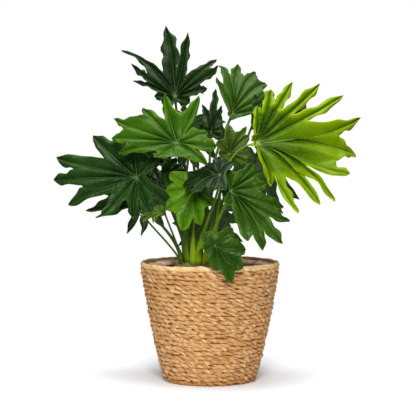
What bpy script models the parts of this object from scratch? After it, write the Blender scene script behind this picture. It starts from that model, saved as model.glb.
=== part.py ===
"""Potted philodendron standing in a woven seagrass basket.

Metres, +Z up, origin at the middle of the basket's underside, front towards -Y.
Every leaf is one blade and one stalk. A blade is laid out flat as lobes around the point
where the stalk joins it, then folded, bent and placed. The basket, its liner, the grower's
pot, the soil and the crown are turned shapes.
"""
import math

import bmesh
import bpy
import numpy as np

# ---------------------------------------------------------------- driving dimensions
GAP = 0.0003                 # clearance between pieces that touch
BASKET_HEIGHT = 0.205
BASKET_WALL = 0.007
BASE_THICKNESS = 0.009
RIM_HEIGHT = 0.010
RIM_THICKNESS = 0.0095
LINER_THICKNESS = 0.0008
POT_WALL = 0.0016
POT_HEIGHT = 0.186
POT_BASE_RADIUS = 0.064
POT_TOP_RADIUS = 0.1015
SOIL_TOP = 0.190
TURN_STEPS = 40

CROWN_CENTRE = (-0.024, 0.004)
CROWN_RADIUS = 0.038
CROWN_TOP = 0.2055
FOOT_LIFT = 0.0026           # stalk feet stand this far above the crown

BLADE_THICKNESS = 0.0008
STALK_FOOT_RADIUS = 0.0044
STALK_TIP_RADIUS = 0.0019
STALK_POINTS = 10
STALK_SPLAY = 0.25           # outward lean of a stalk's foot
STALK_PULL = 0.35            # how far a stalk holds its first and last direction
STALK_CLEAR = 0.0007         # room between a stalk's tip and its blade
BLADE_ROWS = 5               # grid rows along each lobe
BLADE_WEB_ROWS = 2           # of those, rows that are joined to the next lobe
BLADE_COLUMNS = 1

# shape of a blade, in blade lengths
FOLD = 0.18                  # rise of both halves from the midrib
FOLD_SOFT = 0.05             # roundness of that fold
TIP_LIFT = 0.09              # lift or drop of a lobe's tip, in turn round the blade
LOBE_TWIST = 0.45            # roll of a lobe about its vein, in turn round the blade
LOBE_CUP = 0.25              # rise of a lobe's edges from its vein
EDGE_SWELLS = (0.22, 1.6)    # usual size and number of the swells along a lobe's edge
LOBE_TAPER = 2.4             # usual taper of a lobe: higher keeps its width for longer
LOBE_FILL = 1.4              # brings a lobe's widest place to its half width
WEB_FADE = 2.5               # how soon the web's curve leaves the notch
PART_FROM, PART_TO = 0.25, 0.85   # nearest and furthest share at which a lobe parts

# basket outside: height and radius, from the floor to the rim
BASKET_PROFILE = ((0.0, 0.078), (0.010, 0.082), (0.040, 0.090), (0.070, 0.097), (0.102, 0.103),
                  (0.130, 0.109), (0.156, 0.1135), (0.181, 0.118), (0.205, 0.120))

MATERIALS = {                # colour, roughness
    "seagrass": ((0.60, 0.42, 0.22), 0.85),
    "rim_grass": ((0.66, 0.48, 0.27), 0.85),
    "liner_film": ((0.85, 0.85, 0.83), 0.35),
    "pot_plastic": ((0.03, 0.03, 0.03), 0.5),
    "potting_soil": ((0.055, 0.035, 0.022), 0.95),
    "crown_bark": ((0.30, 0.27, 0.10), 0.8),
    "stalk_green": ((0.24, 0.42, 0.07), 0.45),
    "leaf_dark": ((0.02, 0.11, 0.03), 0.35),
    "leaf_mid": ((0.07, 0.24, 0.04), 0.38),
    "leaf_olive": ((0.14, 0.24, 0.05), 0.5),
    "leaf_young": ((0.25, 0.45, 0.05), 0.38),
}

# ---------------------------------------------------------------- the leaves
# at: where the stalk meets the blade; face: compass turn from the front and tilt up of the
# upper side; spin: turn of the midrib in the blade's own plane, from its horizontal;
# foot: distance and compass angle of the stalk's foot from the crown's centre; wave: size
# and number of the swells along a lobe's edge; point: how late a lobe tapers to its tip.
# lobes: angle from the midrib, reach and half width in blade lengths, how far out (of the
# two reaches) the notch before the next lobe lies, and the turn of the lobe's tip.


def even_lobes(pairs, half_width=0.10, notch=0.62, back_notch=0.22):
    """The same lobes on both sides of the midrib; pairs run from the stalk to the tip."""
    right = [(-angle, reach, half_width, notch, -12) for angle, reach in pairs]
    left = [(angle, reach, half_width, notch, 12) for angle, reach in reversed(pairs)]
    lobes = right + [(0, 1.0, half_width, notch, 6)] + left
    lobes[-1] = (*lobes[-1][:3], back_notch, 12)
    return lobes


FIVE_PAIRS = ((150, 0.42), (112, 0.60), (78, 0.74), (48, 0.86), (22, 0.95))
FOUR_PAIRS = FIVE_PAIRS[1:]
THREE_PAIRS = FIVE_PAIRS[2:]

LEAVES = {
    "left_big": dict(
        at=(-0.124, -0.022, 0.350), face=(-8, 30), spin=180, length=0.155, foot=(0.028, 180),
        arrive=(0.7, -0.1, 1.0), splay=0.6,
        tone="leaf_dark", bend=0.35, side=0.2, point=5.5, wave=(0.14, 1.0),
        lobes=[(-130, 0.34, 0.06, 0.72, 0), (-85, 0.42, 0.09, 0.75, -10),
               (-45, 0.83, 0.052, 0.50, 6), (-16, 0.96, 0.068, 0.76, 10), (-3, 1.0, 0.054, 0.68, 0),
               (20, 0.83, 0.072, 0.44, -8), (60, 0.62, 0.056, 0.58, -6), (89, 0.48, 0.044, 0.58, 0),
               (112, 0.50, 0.052, 0.64, 8), (138, 0.53, 0.060, 0.22, 0)]),
    "left_upper": dict(
        at=(-0.055, -0.060, 0.409), face=(-5, 32), spin=171, length=0.117, foot=(0.016, 200),
        arrive=(-0.85, -0.35, 0.35),
        tone="leaf_mid", bend=0.4, side=0.2, point=3.0, wave=(0.25, 1.4),
        lobes=[(-178, 0.56, 0.09, 0.85, 0), (-146, 0.48, 0.12, 0.20, 0), (-100, 0.84, 0.065, 0.56, 10),
               (-66, 0.84, 0.055, 0.48, 0), (-41, 0.90, 0.055, 0.80, 10), (-17, 1.04, 0.045, 0.82, 8),
               (-3, 1.05, 0.075, 0.74, 0), (14, 0.88, 0.07, 0.55, -6), (55, 0.42, 0.08, 0.55, 0),
               (155, 0.55, 0.07, 0.45, 0)]),
    "crown_top": dict(
        at=(-0.060, 0.0, 0.487), face=(0, 22), spin=96, length=0.136, foot=(0.006, 100),
        tone="leaf_dark", bend=0.3, side=0.2, point=2.8, wave=(0.24, 2.8),
        lobes=[(-115, 0.20, 0.07, 0.7, 0), (-80, 0.42, 0.06, 0.6, 0), (-62, 0.66, 0.05, 0.75, 10),
               (-49, 0.77, 0.055, 0.36, 12), (-16, 0.93, 0.06, 0.32, 14), (1, 1.06, 0.10, 0.36, 6),
               (38, 1.0, 0.036, 0.56, 6), (48, 0.68, 0.04, 0.58, -14), (60, 0.58, 0.03, 0.56, 0),
               (82, 0.26, 0.05, 0.6, 0), (120, 0.20, 0.07, 0.4, 0)]),
    "top_right": dict(
        at=(0.039, 0.068, 0.457), face=(15, 32), spin=77, length=0.110, foot=(0.016, 70),
        arrive=(0.45, 0.0, 0.9),
        tone="leaf_dark", bend=0.4, side=0.2, point=3.0, wave=(0.2, 1.2),
        lobes=[(-66, 0.46, 0.04, 0.8, 0), (-50, 0.74, 0.09, 0.80, 0), (-32, 1.0, 0.08, 0.84, 0),
               (-18, 1.18, 0.06, 0.76, 0), (-2, 1.12, 0.08, 0.70, 0), (11, 1.22, 0.06, 0.62, 6),
               (26, 0.72, 0.05, 0.62, 0), (60, 0.06, 0.03, 0.5, 0)]),
    "top_right_inner": dict(
        at=(0.087, 0.036, 0.476), face=(10, 20), spin=-92, length=0.060, foot=(0.016, 15),
        tone="leaf_dark", bend=0.4, side=0.2,
        lobes=[(-140, 0.30, 0.10, 0.7, 0), (-70, 0.26, 0.10, 0.8, 0), (-16, 0.80, 0.08, 0.8, 0),
               (0, 1.0, 0.09, 0.75, 0), (20, 0.90, 0.09, 0.7, 0), (60, 0.70, 0.10, 0.6, 0),
               (130, 0.40, 0.12, 0.5, 0)]),
    "right_big": dict(
        at=(0.077, -0.050, 0.409), face=(12, 28), spin=0, length=0.173, foot=(0.028, -20),
        arrive=(0.9, -0.3, 0.1),
        tone="leaf_young", bend=0.3, side=0.15, point=6.0, wave=(0.22, 2.0),
        lobes=[(-105, 0.07, 0.03, 0.8, 0), (-76, 0.46, 0.03, 0.6, 0), (-69, 0.85, 0.040, 0.54, 10),
               (-50, 0.87, 0.036, 0.52, -10), (-38, 0.96, 0.036, 0.55, -8),
               (-22, 0.94, 0.048, 0.82, 10), (-1, 1.12, 0.058, 0.76, -8),
               (17, 1.21, 0.040, 0.50, 10), (30, 1.10, 0.044, 0.44, -10), (43, 1.08, 0.042, 0.48, -12),
               (57, 0.74, 0.040, 0.66, -8), (70, 0.62, 0.050, 0.70, 6),
               (82, 0.40, 0.03, 0.7, 0), (112, 0.06, 0.03, 0.4, 0)]),
    "right_lower": dict(
        at=(0.033, -0.090, 0.330), face=(10, 38), spin=-54, length=0.124, foot=(0.028, -55),
        tone="leaf_dark", bend=0.4, side=0.2, point=3.0, wave=(0.25, 1.5),
        lobes=[(-90, 0.12, 0.06, 0.8, 0), (-48, 0.26, 0.06, 0.75, 0), (-26, 0.80, 0.08, 0.76, 0),
               (-10, 0.94, 0.075, 0.72, 0), (3, 1.0, 0.07, 0.66, -8), (25, 0.90, 0.06, 0.74, 8),
               (37, 0.76, 0.08, 0.60, 0), (62, 0.50, 0.09, 0.64, 0), (90, 0.60, 0.06, 0.74, 8),
               (102, 0.54, 0.06, 0.6, 8), (142, 0.30, 0.12, 0.4, 0)]),
    "rim_front": dict(
        at=(0.007, -0.126, 0.242), face=(5, 12), spin=-65, length=0.066, foot=(0.028, -80),
        tone="leaf_dark", bend=0.2, side=0.2, point=3.0, wave=(0.12, 1.0),
        lobes=[(-165, 0.44, 0.14, 0.75, 0), (-88, 0.30, 0.12, 0.85, 0), (-20, 0.64, 0.12, 0.92, 0),
               (0, 1.0, 0.10, 0.86, 0), (26, 0.90, 0.10, 0.84, 0), (58, 0.80, 0.12, 0.80, 8),
               (107, 0.62, 0.12, 0.50, 8)]),
    "centre_hanging": dict(
        at=(-0.024, -0.062, 0.334), face=(-5, 30), spin=-105, length=0.078, foot=(0.028, -100),
        tone="leaf_mid", bend=0.4, side=0.3, point=3.0, wave=(0.12, 1.0),
        lobes=[(-105, 0.66, 0.14, 0.7, 0), (-70, 0.66, 0.12, 0.75, 0), (-38, 0.80, 0.12, 0.8, 0),
               (0, 1.0, 0.11, 0.76, 0), (24, 0.85, 0.10, 0.7, 0), (57, 0.58, 0.14, 0.7, 0),
               (100, 0.40, 0.14, 0.5, 0)]),
    "centre_upright": dict(
        at=(0.002, 0.040, 0.427), face=(0, 25), spin=88, length=0.083, foot=(0.006, -20),
        tone="leaf_dark", bend=0.3, side=0.2, point=2.6, wave=(0.3, 2.0),
        lobes=[(-120, 0.25, 0.09, 0.7, 0), (-76, 0.30, 0.09, 0.7, 0), (-20, 0.62, 0.05, 0.62, -8),
               (-3, 1.15, 0.06, 0.50, 6), (18, 0.70, 0.05, 0.62, 8), (68, 0.26, 0.09, 0.7, 0),
               (120, 0.25, 0.09, 0.5, 0)]),
    "centre_right": dict(
        at=(0.032, -0.014, 0.390), face=(5, 22), spin=60, length=0.060, foot=(0.016, -30),
        tone="leaf_olive", bend=0.4, side=0.2, point=3.0, wave=(0.15, 1.0),
        lobes=[(-120, 0.40, 0.12, 0.8, 0), (-88, 0.56, 0.12, 0.75, 0), (-64, 0.60, 0.12, 0.7, 0),
               (-15, 0.92, 0.09, 0.75, 0), (-2, 1.06, 0.07, 0.7, 0), (27, 1.0, 0.10, 0.6, 0),
               (70, 0.50, 0.12, 0.7, 0), (120, 0.30, 0.12, 0.5, 0)]),
    "centre_dark": dict(
        at=(0.017, -0.092, 0.357), face=(-12, 55), spin=180, length=0.072, foot=(0.016, -75),
        tone="leaf_dark", bend=0.7, side=0.4, lobes=even_lobes(FOUR_PAIRS, 0.11, 0.65)),
    "left_small": dict(
        at=(-0.078, -0.020, 0.291), face=(-150, 45), spin=5, length=0.054, foot=(0.028, 205),
 tone="leaf_olive", bend=0.5, side=0.5,
        lobes=even_lobes(((100, 0.30), (60, 0.50), (28, 0.78)), 0.10, 0.68)),
    "left_back": dict(
        at=(-0.102, 0.070, 0.371), face=(-12, 35), spin=147, length=0.105, foot=(0.016, 150),
        tone="leaf_dark", bend=0.4, side=0.3, lobes=even_lobes(FIVE_PAIRS, 0.09, 0.54)),
    "left_under": dict(
        at=(-0.120, 0.024, 0.310), face=(-10, 20), spin=185, length=0.112, foot=(0.028, 155),
        tone="leaf_dark", bend=0.5, side=0.3,
        lobes=[(-110, 0.36, 0.10, 0.6, 0), (-60, 0.75, 0.08, 0.55, 6), (-25, 0.90, 0.07, 0.55, 6),
               (2, 0.98, 0.05, 0.62, -8), (18, 0.74, 0.05, 0.40, -6), (60, 0.30, 0.08, 0.5, 0),
               (120, 0.24, 0.08, 0.5, 0)]),
    "right_back": dict(
        at=(0.132, 0.075, 0.410), face=(15, 30), spin=0, length=0.088, foot=(0.028, 10),
        tone="leaf_dark", bend=0.4, side=0.2,
        lobes=[(-130, 0.36, 0.12, 0.6, 0), (-108, 0.98, 0.09, 0.50, 8), (-74, 1.08, 0.09, 0.50, 8),
               (-35, 0.80, 0.10, 0.60, 0), (0, 0.75, 0.10, 0.60, 0), (28, 0.95, 0.06, 0.55, 0),
               (58, 1.10, 0.10, 0.50, -8), (95, 0.50, 0.12, 0.60, 0), (150, 0.35, 0.12, 0.45, 0)]),
    "centre_left": dict(
        at=(-0.078, 0.006, 0.357), face=(0, 20), spin=8, length=0.040, foot=(0.006, 205),
        tone="leaf_dark", bend=0.5, side=0.3, lobes=even_lobes(THREE_PAIRS, 0.14, 0.70)),
    "back_top": dict(
        at=(-0.034, 0.140, 0.440), face=(178, 40), spin=-75, length=0.105, foot=(0.028, 130),
        tone="leaf_mid", bend=0.5, side=0.3, lobes=even_lobes(FIVE_PAIRS, 0.07, 0.54)),
    "back_right": dict(
        at=(0.082, 0.154, 0.375), face=(150, 40), spin=-80, length=0.125, foot=(0.028, 50),
        tone="leaf_dark", bend=0.5, side=0.3, lobes=even_lobes(FIVE_PAIRS, 0.07, 0.54)),
    "back_hanging": dict(
        at=(0.0, 0.155, 0.275), face=(184, 22), spin=-92, length=0.095, foot=(0.028, 78),
        tone="leaf_dark", bend=0.4, side=0.3, lobes=even_lobes(FIVE_PAIRS, 0.07, 0.54)),
    "back_left": dict(
        at=(-0.100, 0.146, 0.335), face=(215, 40), spin=-95, length=0.115, foot=(0.028, 108),
        tone="leaf_dark", bend=0.5, side=0.3, lobes=even_lobes(FIVE_PAIRS, 0.07, 0.54)),
}

UP = np.array([0.0, 0.0, 1.0])


# ---------------------------------------------------------------- scene helpers
def clear_scene():
    for item in list(bpy.data.objects):
        bpy.data.objects.remove(item, do_unlink=True)


def material(name):
    found = bpy.data.materials.get(name)
    if found:
        return found
    colour, roughness = MATERIALS[name]
    made = bpy.data.materials.new(name)
    made.use_nodes = True
    shader = made.node_tree.nodes["Principled BSDF"]
    shader.inputs["Base Color"].default_value = (*colour, 1.0)
    shader.inputs["Roughness"].default_value = roughness
    shader.inputs["Metallic"].default_value = 0.0
    made.diffuse_color = (*colour, 1.0)
    return made


def add_object(name, data, finish):
    thing = bpy.data.objects.new(name, data)
    bpy.context.scene.collection.objects.link(thing)
    data.materials.append(material(finish))
    return thing


# ---------------------------------------------------------------- turned pieces
def basket_radius(z):
    heights = [point[0] for point in BASKET_PROFILE]
    radii = [point[1] for point in BASKET_PROFILE]
    return float(np.interp(z, heights, radii))


def turned(name, outline, finish, centre=(0.0, 0.0), steps=TURN_STEPS):
    """Turn a closed outline of (radius, height), counter-clockwise, about a vertical axis."""
    mesh = bpy.data.meshes.new(name)
    shape = bmesh.new()
    rings = []
    for radius, height in outline:
        if radius == 0.0:
            rings.append([shape.verts.new((*centre, height))])
            continue
        ring = []
        for step in range(steps):
            turn = 2 * math.pi * step / steps
            x = centre[0] + radius * math.cos(turn)
            y = centre[1] + radius * math.sin(turn)
            ring.append(shape.verts.new((x, y, height)))
        rings.append(ring)
    for lower, upper in zip(rings, rings[1:] + rings[:1]):
        for step in range(steps):
            after = (step + 1) % steps
            corners = [lower[step % len(lower)], lower[after % len(lower)],
                       upper[after % len(upper)], upper[step % len(upper)]]
            corners = list(dict.fromkeys(corners))
            if len(corners) > 2:
                shape.faces.new(corners)
    bmesh.ops.recalc_face_normals(shape, faces=shape.faces)
    shape.to_mesh(mesh)
    shape.free()
    mesh.shade_smooth()
    mesh.set_sharp_from_angle(angle=math.radians(40))
    return add_object(name, mesh, finish)


def make_basket():
    wall_foot = BASE_THICKNESS + GAP
    wall_top = BASKET_HEIGHT - RIM_HEIGHT - GAP
    edge = BASKET_PROFILE[0][1]
    turned("basket_base", [(0.0, 0.0), (edge - 0.003, 0.0), (edge + 0.002, 0.003),
                           (edge + 0.0025, 0.006), (edge, BASE_THICKNESS),
                           (0.0, BASE_THICKNESS)], "seagrass")
    heights = [wall_foot, 0.040, 0.070, 0.102, 0.130, 0.156, 0.181, wall_top]
    outside = [(basket_radius(z), z) for z in heights]
    inside = [(basket_radius(z) - BASKET_WALL, z) for z in reversed(heights)]
    turned("basket_wall", outside + inside, "seagrass")
    low = BASKET_HEIGHT - RIM_HEIGHT
    outer = BASKET_PROFILE[-1][1] + 0.0005
    inner = outer - RIM_THICKNESS
    soft = 0.003
    turned("basket_rim", [(outer - soft, low), (outer, low + soft), (outer, BASKET_HEIGHT - soft),
                          (outer - soft, BASKET_HEIGHT), (inner + soft, BASKET_HEIGHT),
                          (inner, BASKET_HEIGHT - soft), (inner, low + soft),
                          (inner + soft, low)], "rim_grass")


def liner_radius(z):
    return basket_radius(z) - BASKET_WALL - 2 * GAP


def make_liner():
    foot = BASE_THICKNESS + GAP
    floor = foot + LINER_THICKNESS
    heights = [0.040, 0.102, 0.156, BASKET_HEIGHT - RIM_HEIGHT - GAP]
    top = BASKET_HEIGHT - 0.002
    lip = BASKET_PROFILE[-1][1] + 0.0005 - RIM_THICKNESS - 2 * GAP
    outside = [(liner_radius(foot), foot)] + [(liner_radius(z), z) for z in heights[:3]]
    outside += [(min(lip, liner_radius(heights[3])), heights[3]), (lip, top)]
    inside = [(radius - LINER_THICKNESS, z) for radius, z in reversed(outside[1:])]
    turned("plastic_liner", [(0.0, foot)] + outside + inside
           + [(liner_radius(foot) - LINER_THICKNESS, floor), (0.0, floor)], "liner_film")
    return floor


def make_pot(floor):
    foot = floor + GAP
    top = foot + POT_HEIGHT
    outside = [(POT_BASE_RADIUS, foot), (POT_TOP_RADIUS, top - 0.010),
               (POT_TOP_RADIUS + 0.003, top - 0.010), (POT_TOP_RADIUS + 0.003, top)]
    inside = [(POT_TOP_RADIUS - POT_WALL, top), (POT_BASE_RADIUS - POT_WALL, foot + POT_WALL)]
    turned("nursery_pot", [(0.0, foot)] + outside + inside + [(0.0, foot + POT_WALL)],
           "pot_plastic")
    return foot


def make_soil(foot):
    low = foot + POT_WALL + GAP
    slope = (POT_TOP_RADIUS - POT_BASE_RADIUS) / POT_HEIGHT
    clear = POT_WALL + 3 * GAP

    def inside_pot(z):
        return POT_BASE_RADIUS + slope * (z - foot) - clear

    turned("soil", [(0.0, low), (inside_pot(low), low), (inside_pot(SOIL_TOP - 0.002), SOIL_TOP - 0.002),
                    (inside_pot(SOIL_TOP) - 0.004, SOIL_TOP), (0.0, SOIL_TOP)], "potting_soil")


def make_crown():
    low = SOIL_TOP + GAP
    turned("root_crown", [(0.0, low), (CROWN_RADIUS, low), (CROWN_RADIUS, low + 0.007),
                          (CROWN_RADIUS - 0.003, CROWN_TOP), (0.0, CROWN_TOP)],
           "crown_bark", CROWN_CENTRE, 20)


# ---------------------------------------------------------------- leaf blades
def unit(vector):
    vector = np.asarray(vector, float)
    return vector / np.linalg.norm(vector)


def polar(angle, reach):
    turn = math.radians(angle)
    return reach * np.array([math.cos(turn), math.sin(turn)])


def leaf_axes(leaf):
    """Directions of a blade: along its midrib, across it, and out of its upper side."""
    compass, tilt = (math.radians(value) for value in leaf["face"])
    out = np.array([math.cos(tilt) * math.sin(compass),
                    -math.cos(tilt) * math.cos(compass), math.sin(tilt)])
    level = unit(np.cross(UP, out))
    spin = math.radians(leaf["spin"])
    along = math.cos(spin) * level + math.sin(spin) * np.cross(out, level)
    return along, np.cross(out, along), out


def vein_bend(lobe):
    """Where a lobe's vein turns: away from the midrib, and to one side by its sweep."""
    angle, reach, _, _, sweep = lobe
    ahead = max(0.0, math.cos(math.radians(angle)))
    straight = 0.5 * polar(angle, reach)
    arched = np.array([0.42 * ahead * reach, 0.12 * math.sin(math.radians(angle))])
    aside = polar(angle + 90, 0.4 * reach * math.sin(math.radians(sweep)))
    return straight * (1 - ahead) + arched * ahead - aside


def arc(start, bend, end, t):
    t = np.asarray(t)[:, None]
    return (1 - t) ** 2 * start + 2 * (1 - t) * t * bend + t ** 2 * end


def notches(lobes):
    """The notch after each lobe, and the bend of the line that leads to it."""
    found = []
    for lobe, after in zip(lobes, lobes[1:] + lobes[:1]):
        turn = (after[0] - lobe[0]) % 360
        point = polar(lobe[0] + turn / 2, lobe[3] * (lobe[1] + after[1]) / 2)
        bend = (vein_bend(lobe) + vein_bend(after)) / 2 * lobe[3]
        found.append((point, bend if turn < 120 else point / 2))
    return found


def flat_blade(leaf, number, rows, web_rows, columns):
    """Grid of a flat blade of unit length, and its faces. Each point's marks are: freedom (0
    where joined to the next lobe, 1 at the tip), lobe, side of the vein, distance from it."""
    lobes = leaf["lobes"]
    ids, points, marks, faces = {}, [], [], []
    steps = np.arange(rows + 1)
    free = np.sin(0.5 * math.pi * np.arange(rows - web_rows + 1) / (rows - web_rows))
    ends = notches(lobes)
    size, count = leaf.get("wave", EDGE_SWELLS)
    for lobe, shape in enumerate(lobes):
        angle, reach, half_width, depth, _ = shape
        tip, bend = polar(angle, reach), vein_bend(shape)
        start = min(PART_TO, max(PART_FROM, 0.5 * (depth + lobes[lobe - 1][3])))
        along = np.concatenate([start * steps[:web_rows] / web_rows, start + (1 - start) * free])
        vein = arc(np.zeros(2), bend, tip, along)
        heading = 2 * (1 - along)[:, None] * bend + 2 * along[:, None] * (tip - bend)
        heading = heading / np.linalg.norm(heading, axis=1)[:, None]
        for side in (1, -1):
            web = lobe if side > 0 else (lobe - 1) % len(lobes)
            notch, notch_bend = ends[web]
            away = side * np.stack([-heading[:, 1], heading[:, 0]], -1)
            web_line = arc(np.zeros(2), notch_bend, notch, steps[:web_rows + 1] / web_rows)
            t = free[:, None]
            fullness = LOBE_FILL * (1 - (1 - t) ** 2) * (1 - t ** leaf.get("point", LOBE_TAPER))
            swing = 2 * math.pi * count * t + 2.4 * lobe + 1.3 * side + 1.7 * number
            margin = vein[web_rows:] + (notch - vein[web_rows]) * (1 - t) ** WEB_FADE
            margin = margin + away[web_rows:] * half_width * fullness * (1 + size * np.sin(swing))
            edge = np.concatenate([web_line, margin[1:]])
            grid = {}
            for row in steps:
                wide = np.linalg.norm(edge[row] - vein[row])
                for column in range(columns + 1):
                    if row == 0:
                        key = "stalk"
                    elif column == 0 or row == rows:
                        key = ("vein", lobe, row)
                    elif column == columns and row <= web_rows:
                        key = ("web", web, row)
                    else:
                        key = ("blade", lobe, side, row, column)
                    if key not in ids:
                        share = column / columns
                        ids[key] = len(points)
                        points.append(vein[row] + (edge[row] - vein[row]) * share)
                        marks.append((free[max(0, row - web_rows)], lobe, side, wide * share))
                    grid[row, column] = ids[key]
            for row in range(rows):
                for column in range(columns):
                    face = [grid[row, column], grid[row + 1, column],
                            grid[row + 1, column + 1], grid[row, column + 1]]
                    if side < 0:
                        face.reverse()
                    face = list(dict.fromkeys(face))
                    if len(face) > 2:
                        faces.append(face)
    return np.array(points), np.array(marks).T, faces


def shaped_blade(points, marks, leaf, number):
    """Fold, curl and bend a flat blade; the result stays one blade length long."""
    p, q = points[:, 0], points[:, 1]
    free, lobe, side, wide = marks
    lobe = lobe.astype(int)
    order = np.arange(len(leaf["lobes"]))
    lift = TIP_LIFT * np.sin(2.4 * order + 1.7 * number)
    twist = LOBE_TWIST * np.sin(3.1 * order + 1.1 * number)
    rise = FOLD * (np.sqrt(q ** 2 + FOLD_SOFT ** 2) - FOLD_SOFT)
    rise = rise + lift[lobe] * free ** 2 - leaf["side"] * q ** 2
    rise = rise + (twist[lobe] * side + LOBE_CUP) * wide * free
    turn = leaf["bend"] * p
    along = np.sin(turn) / leaf["bend"] + rise * np.sin(turn)
    out = -(1 - np.cos(turn)) / leaf["bend"] + rise * np.cos(turn)
    return np.stack([along, q, out], -1)


def make_blade(name, leaf, number):
    points, marks, faces = flat_blade(leaf, number, BLADE_ROWS, BLADE_WEB_ROWS, BLADE_COLUMNS)
    local = shaped_blade(points, marks, leaf, number) * leaf["length"]
    placed = np.array(leaf["at"]) + local @ np.stack(leaf_axes(leaf))
    mesh = bpy.data.meshes.new("blade_" + name)
    mesh.from_pydata([tuple(point) for point in placed], [], faces)
    mesh.shade_smooth()
    blade = add_object("blade_" + name, mesh, leaf["tone"])
    thick = blade.modifiers.new("thickness", "SOLIDIFY")
    thick.thickness = BLADE_THICKNESS
    thick.offset = 0.0
    return blade


# ---------------------------------------------------------------- leaf stalks
def stalk_path(leaf):
    """Points of a stalk from its foot on the crown to the back of its blade."""
    distance, compass = leaf["foot"]
    outward = np.array([math.cos(math.radians(compass)), math.sin(math.radians(compass)), 0.0])
    foot = np.array([*CROWN_CENTRE, CROWN_TOP + FOOT_LIFT]) + outward * distance
    out = leaf_axes(leaf)[2]
    arrive = unit(unit(np.array(leaf["at"]) - foot) * 0.9 + out * 0.55 + UP * 0.1)
    if "arrive" in leaf:
        arrive = unit(leaf["arrive"])
    lean = math.sqrt(max(0.0, 1 - float(arrive @ out) ** 2))
    tip = np.array(leaf["at"]) - out * (BLADE_THICKNESS / 2 + STALK_CLEAR + STALK_TIP_RADIUS * lean)
    span = np.linalg.norm(tip - foot)
    first = foot + unit(outward * leaf.get("splay", STALK_SPLAY) + UP) * span * STALK_PULL
    last = tip - arrive * span * STALK_PULL
    t = np.linspace(0, 1, STALK_POINTS)[:, None]
    return ((1 - t) ** 3 * foot + 3 * (1 - t) ** 2 * t * first
            + 3 * (1 - t) * t ** 2 * last + t ** 3 * tip)


def make_stalk(name, leaf):
    path = stalk_path(leaf)
    curve = bpy.data.curves.new("petiole_" + name, "CURVE")
    curve.dimensions = "3D"
    curve.bevel_depth = 1.0
    curve.bevel_resolution = 2
    curve.use_fill_caps = True
    spline = curve.splines.new("POLY")
    spline.points.add(len(path) - 1)
    for number, (point, place) in enumerate(zip(spline.points, path)):
        share = number / (len(path) - 1)
        point.co = (*place, 1.0)
        slim = 1 - (1 - share) ** 2
        point.radius = STALK_FOOT_RADIUS + (STALK_TIP_RADIUS - STALK_FOOT_RADIUS) * slim
    return add_object("petiole_" + name, curve, "stalk_green")


def main():
    clear_scene()
    make_basket()
    liner_floor = make_liner()
    pot_foot = make_pot(liner_floor)
    make_soil(pot_foot)
    make_crown()
    for number, (name, leaf) in enumerate(LEAVES.items()):
        make_stalk(name, leaf)
        make_blade(name, leaf, number)


main()
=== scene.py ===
"""Looks of a split-leaf philodendron in a seagrass basket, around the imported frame."""

import math

import bpy
import numpy as np
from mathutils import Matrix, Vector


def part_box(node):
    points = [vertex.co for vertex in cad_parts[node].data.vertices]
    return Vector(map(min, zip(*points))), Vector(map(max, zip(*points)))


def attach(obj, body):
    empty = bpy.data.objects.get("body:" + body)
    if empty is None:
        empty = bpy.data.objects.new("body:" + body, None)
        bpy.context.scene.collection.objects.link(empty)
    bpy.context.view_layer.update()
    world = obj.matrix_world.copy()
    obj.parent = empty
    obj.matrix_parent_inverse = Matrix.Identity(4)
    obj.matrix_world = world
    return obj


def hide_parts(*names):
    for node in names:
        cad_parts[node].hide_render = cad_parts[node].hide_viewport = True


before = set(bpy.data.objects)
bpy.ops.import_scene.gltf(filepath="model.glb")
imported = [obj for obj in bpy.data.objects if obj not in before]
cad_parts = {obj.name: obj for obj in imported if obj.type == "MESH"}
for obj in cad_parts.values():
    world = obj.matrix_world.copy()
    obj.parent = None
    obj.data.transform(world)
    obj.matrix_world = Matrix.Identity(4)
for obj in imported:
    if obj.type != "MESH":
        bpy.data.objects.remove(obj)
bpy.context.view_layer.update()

# ---------------------------------------------------------------- sizes, metres
# basket outside: height and radius, from the floor to the rim
BASKET_PROFILE = ((0.0, 0.078), (0.010, 0.082), (0.040, 0.090), (0.070, 0.097), (0.102, 0.103),
                  (0.130, 0.109), (0.156, 0.1135), (0.181, 0.118), (0.205, 0.120))
ROPE_PITCH = 0.0074              # height from one row of rope to the next
ROPE_STRAND = (0.0033, 0.0023)   # half width and half thickness of one strand
ROPE_CORE = 0.0022               # how far each strand runs from the middle of its rope
ROPE_LAY = 0.031                 # length in which a strand goes once round its rope
ROPE_PROUD = 0.0004              # how far the rows stand out past the basket's profile
FIRST_ROW = 0.0045
LAST_ROW = 0.1930
RIM_ROW = 0.1995
RIM_RISE = 0.0008                # how far the rim's rope lies above its row
RIM_INSET = 0.0046
RIM_ROPE = dict(strands=3, section=(0.0038, 0.0024), core=0.0024, lay=0.052, sides=10, loose=0.45)
BASE_COILS = 8
BASE_FIRST_COIL = 0.0085
BASE_COIL_STEP = 0.0083
BASE_LAY = 0.028
BACKING_DEPTHS = (0.0047, 0.0070)   # both sides of the layer behind the rows of the wall
ROUND_STEPS = 96                 # steps round the pot and that layer
FILM_THICKNESS = 0.0004
FILM_EDGE = 0.2005               # height at which the film folds in
FILM_GAP = 0.0105                # from the basket's profile in to the film
FOLD_WIDTH = 0.0115              # how far the film folds in over the pot
FOLD_DROOP = 0.0026              # how far that fold falls towards its inner edge
CRUMBS = 520
CRUMB_SIZE = (0.0012, 0.0040)
BLADE_THICKNESS = 0.0005
FULL_LENGTH = 0.15               # length of a blade whose veins have their full thickness
SMALL_BLADE = 0.07               # blades shorter than this have a coarser grid
BLADE_ROW = 0.007                # length of blade for each row of its grid past the first 14

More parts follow.
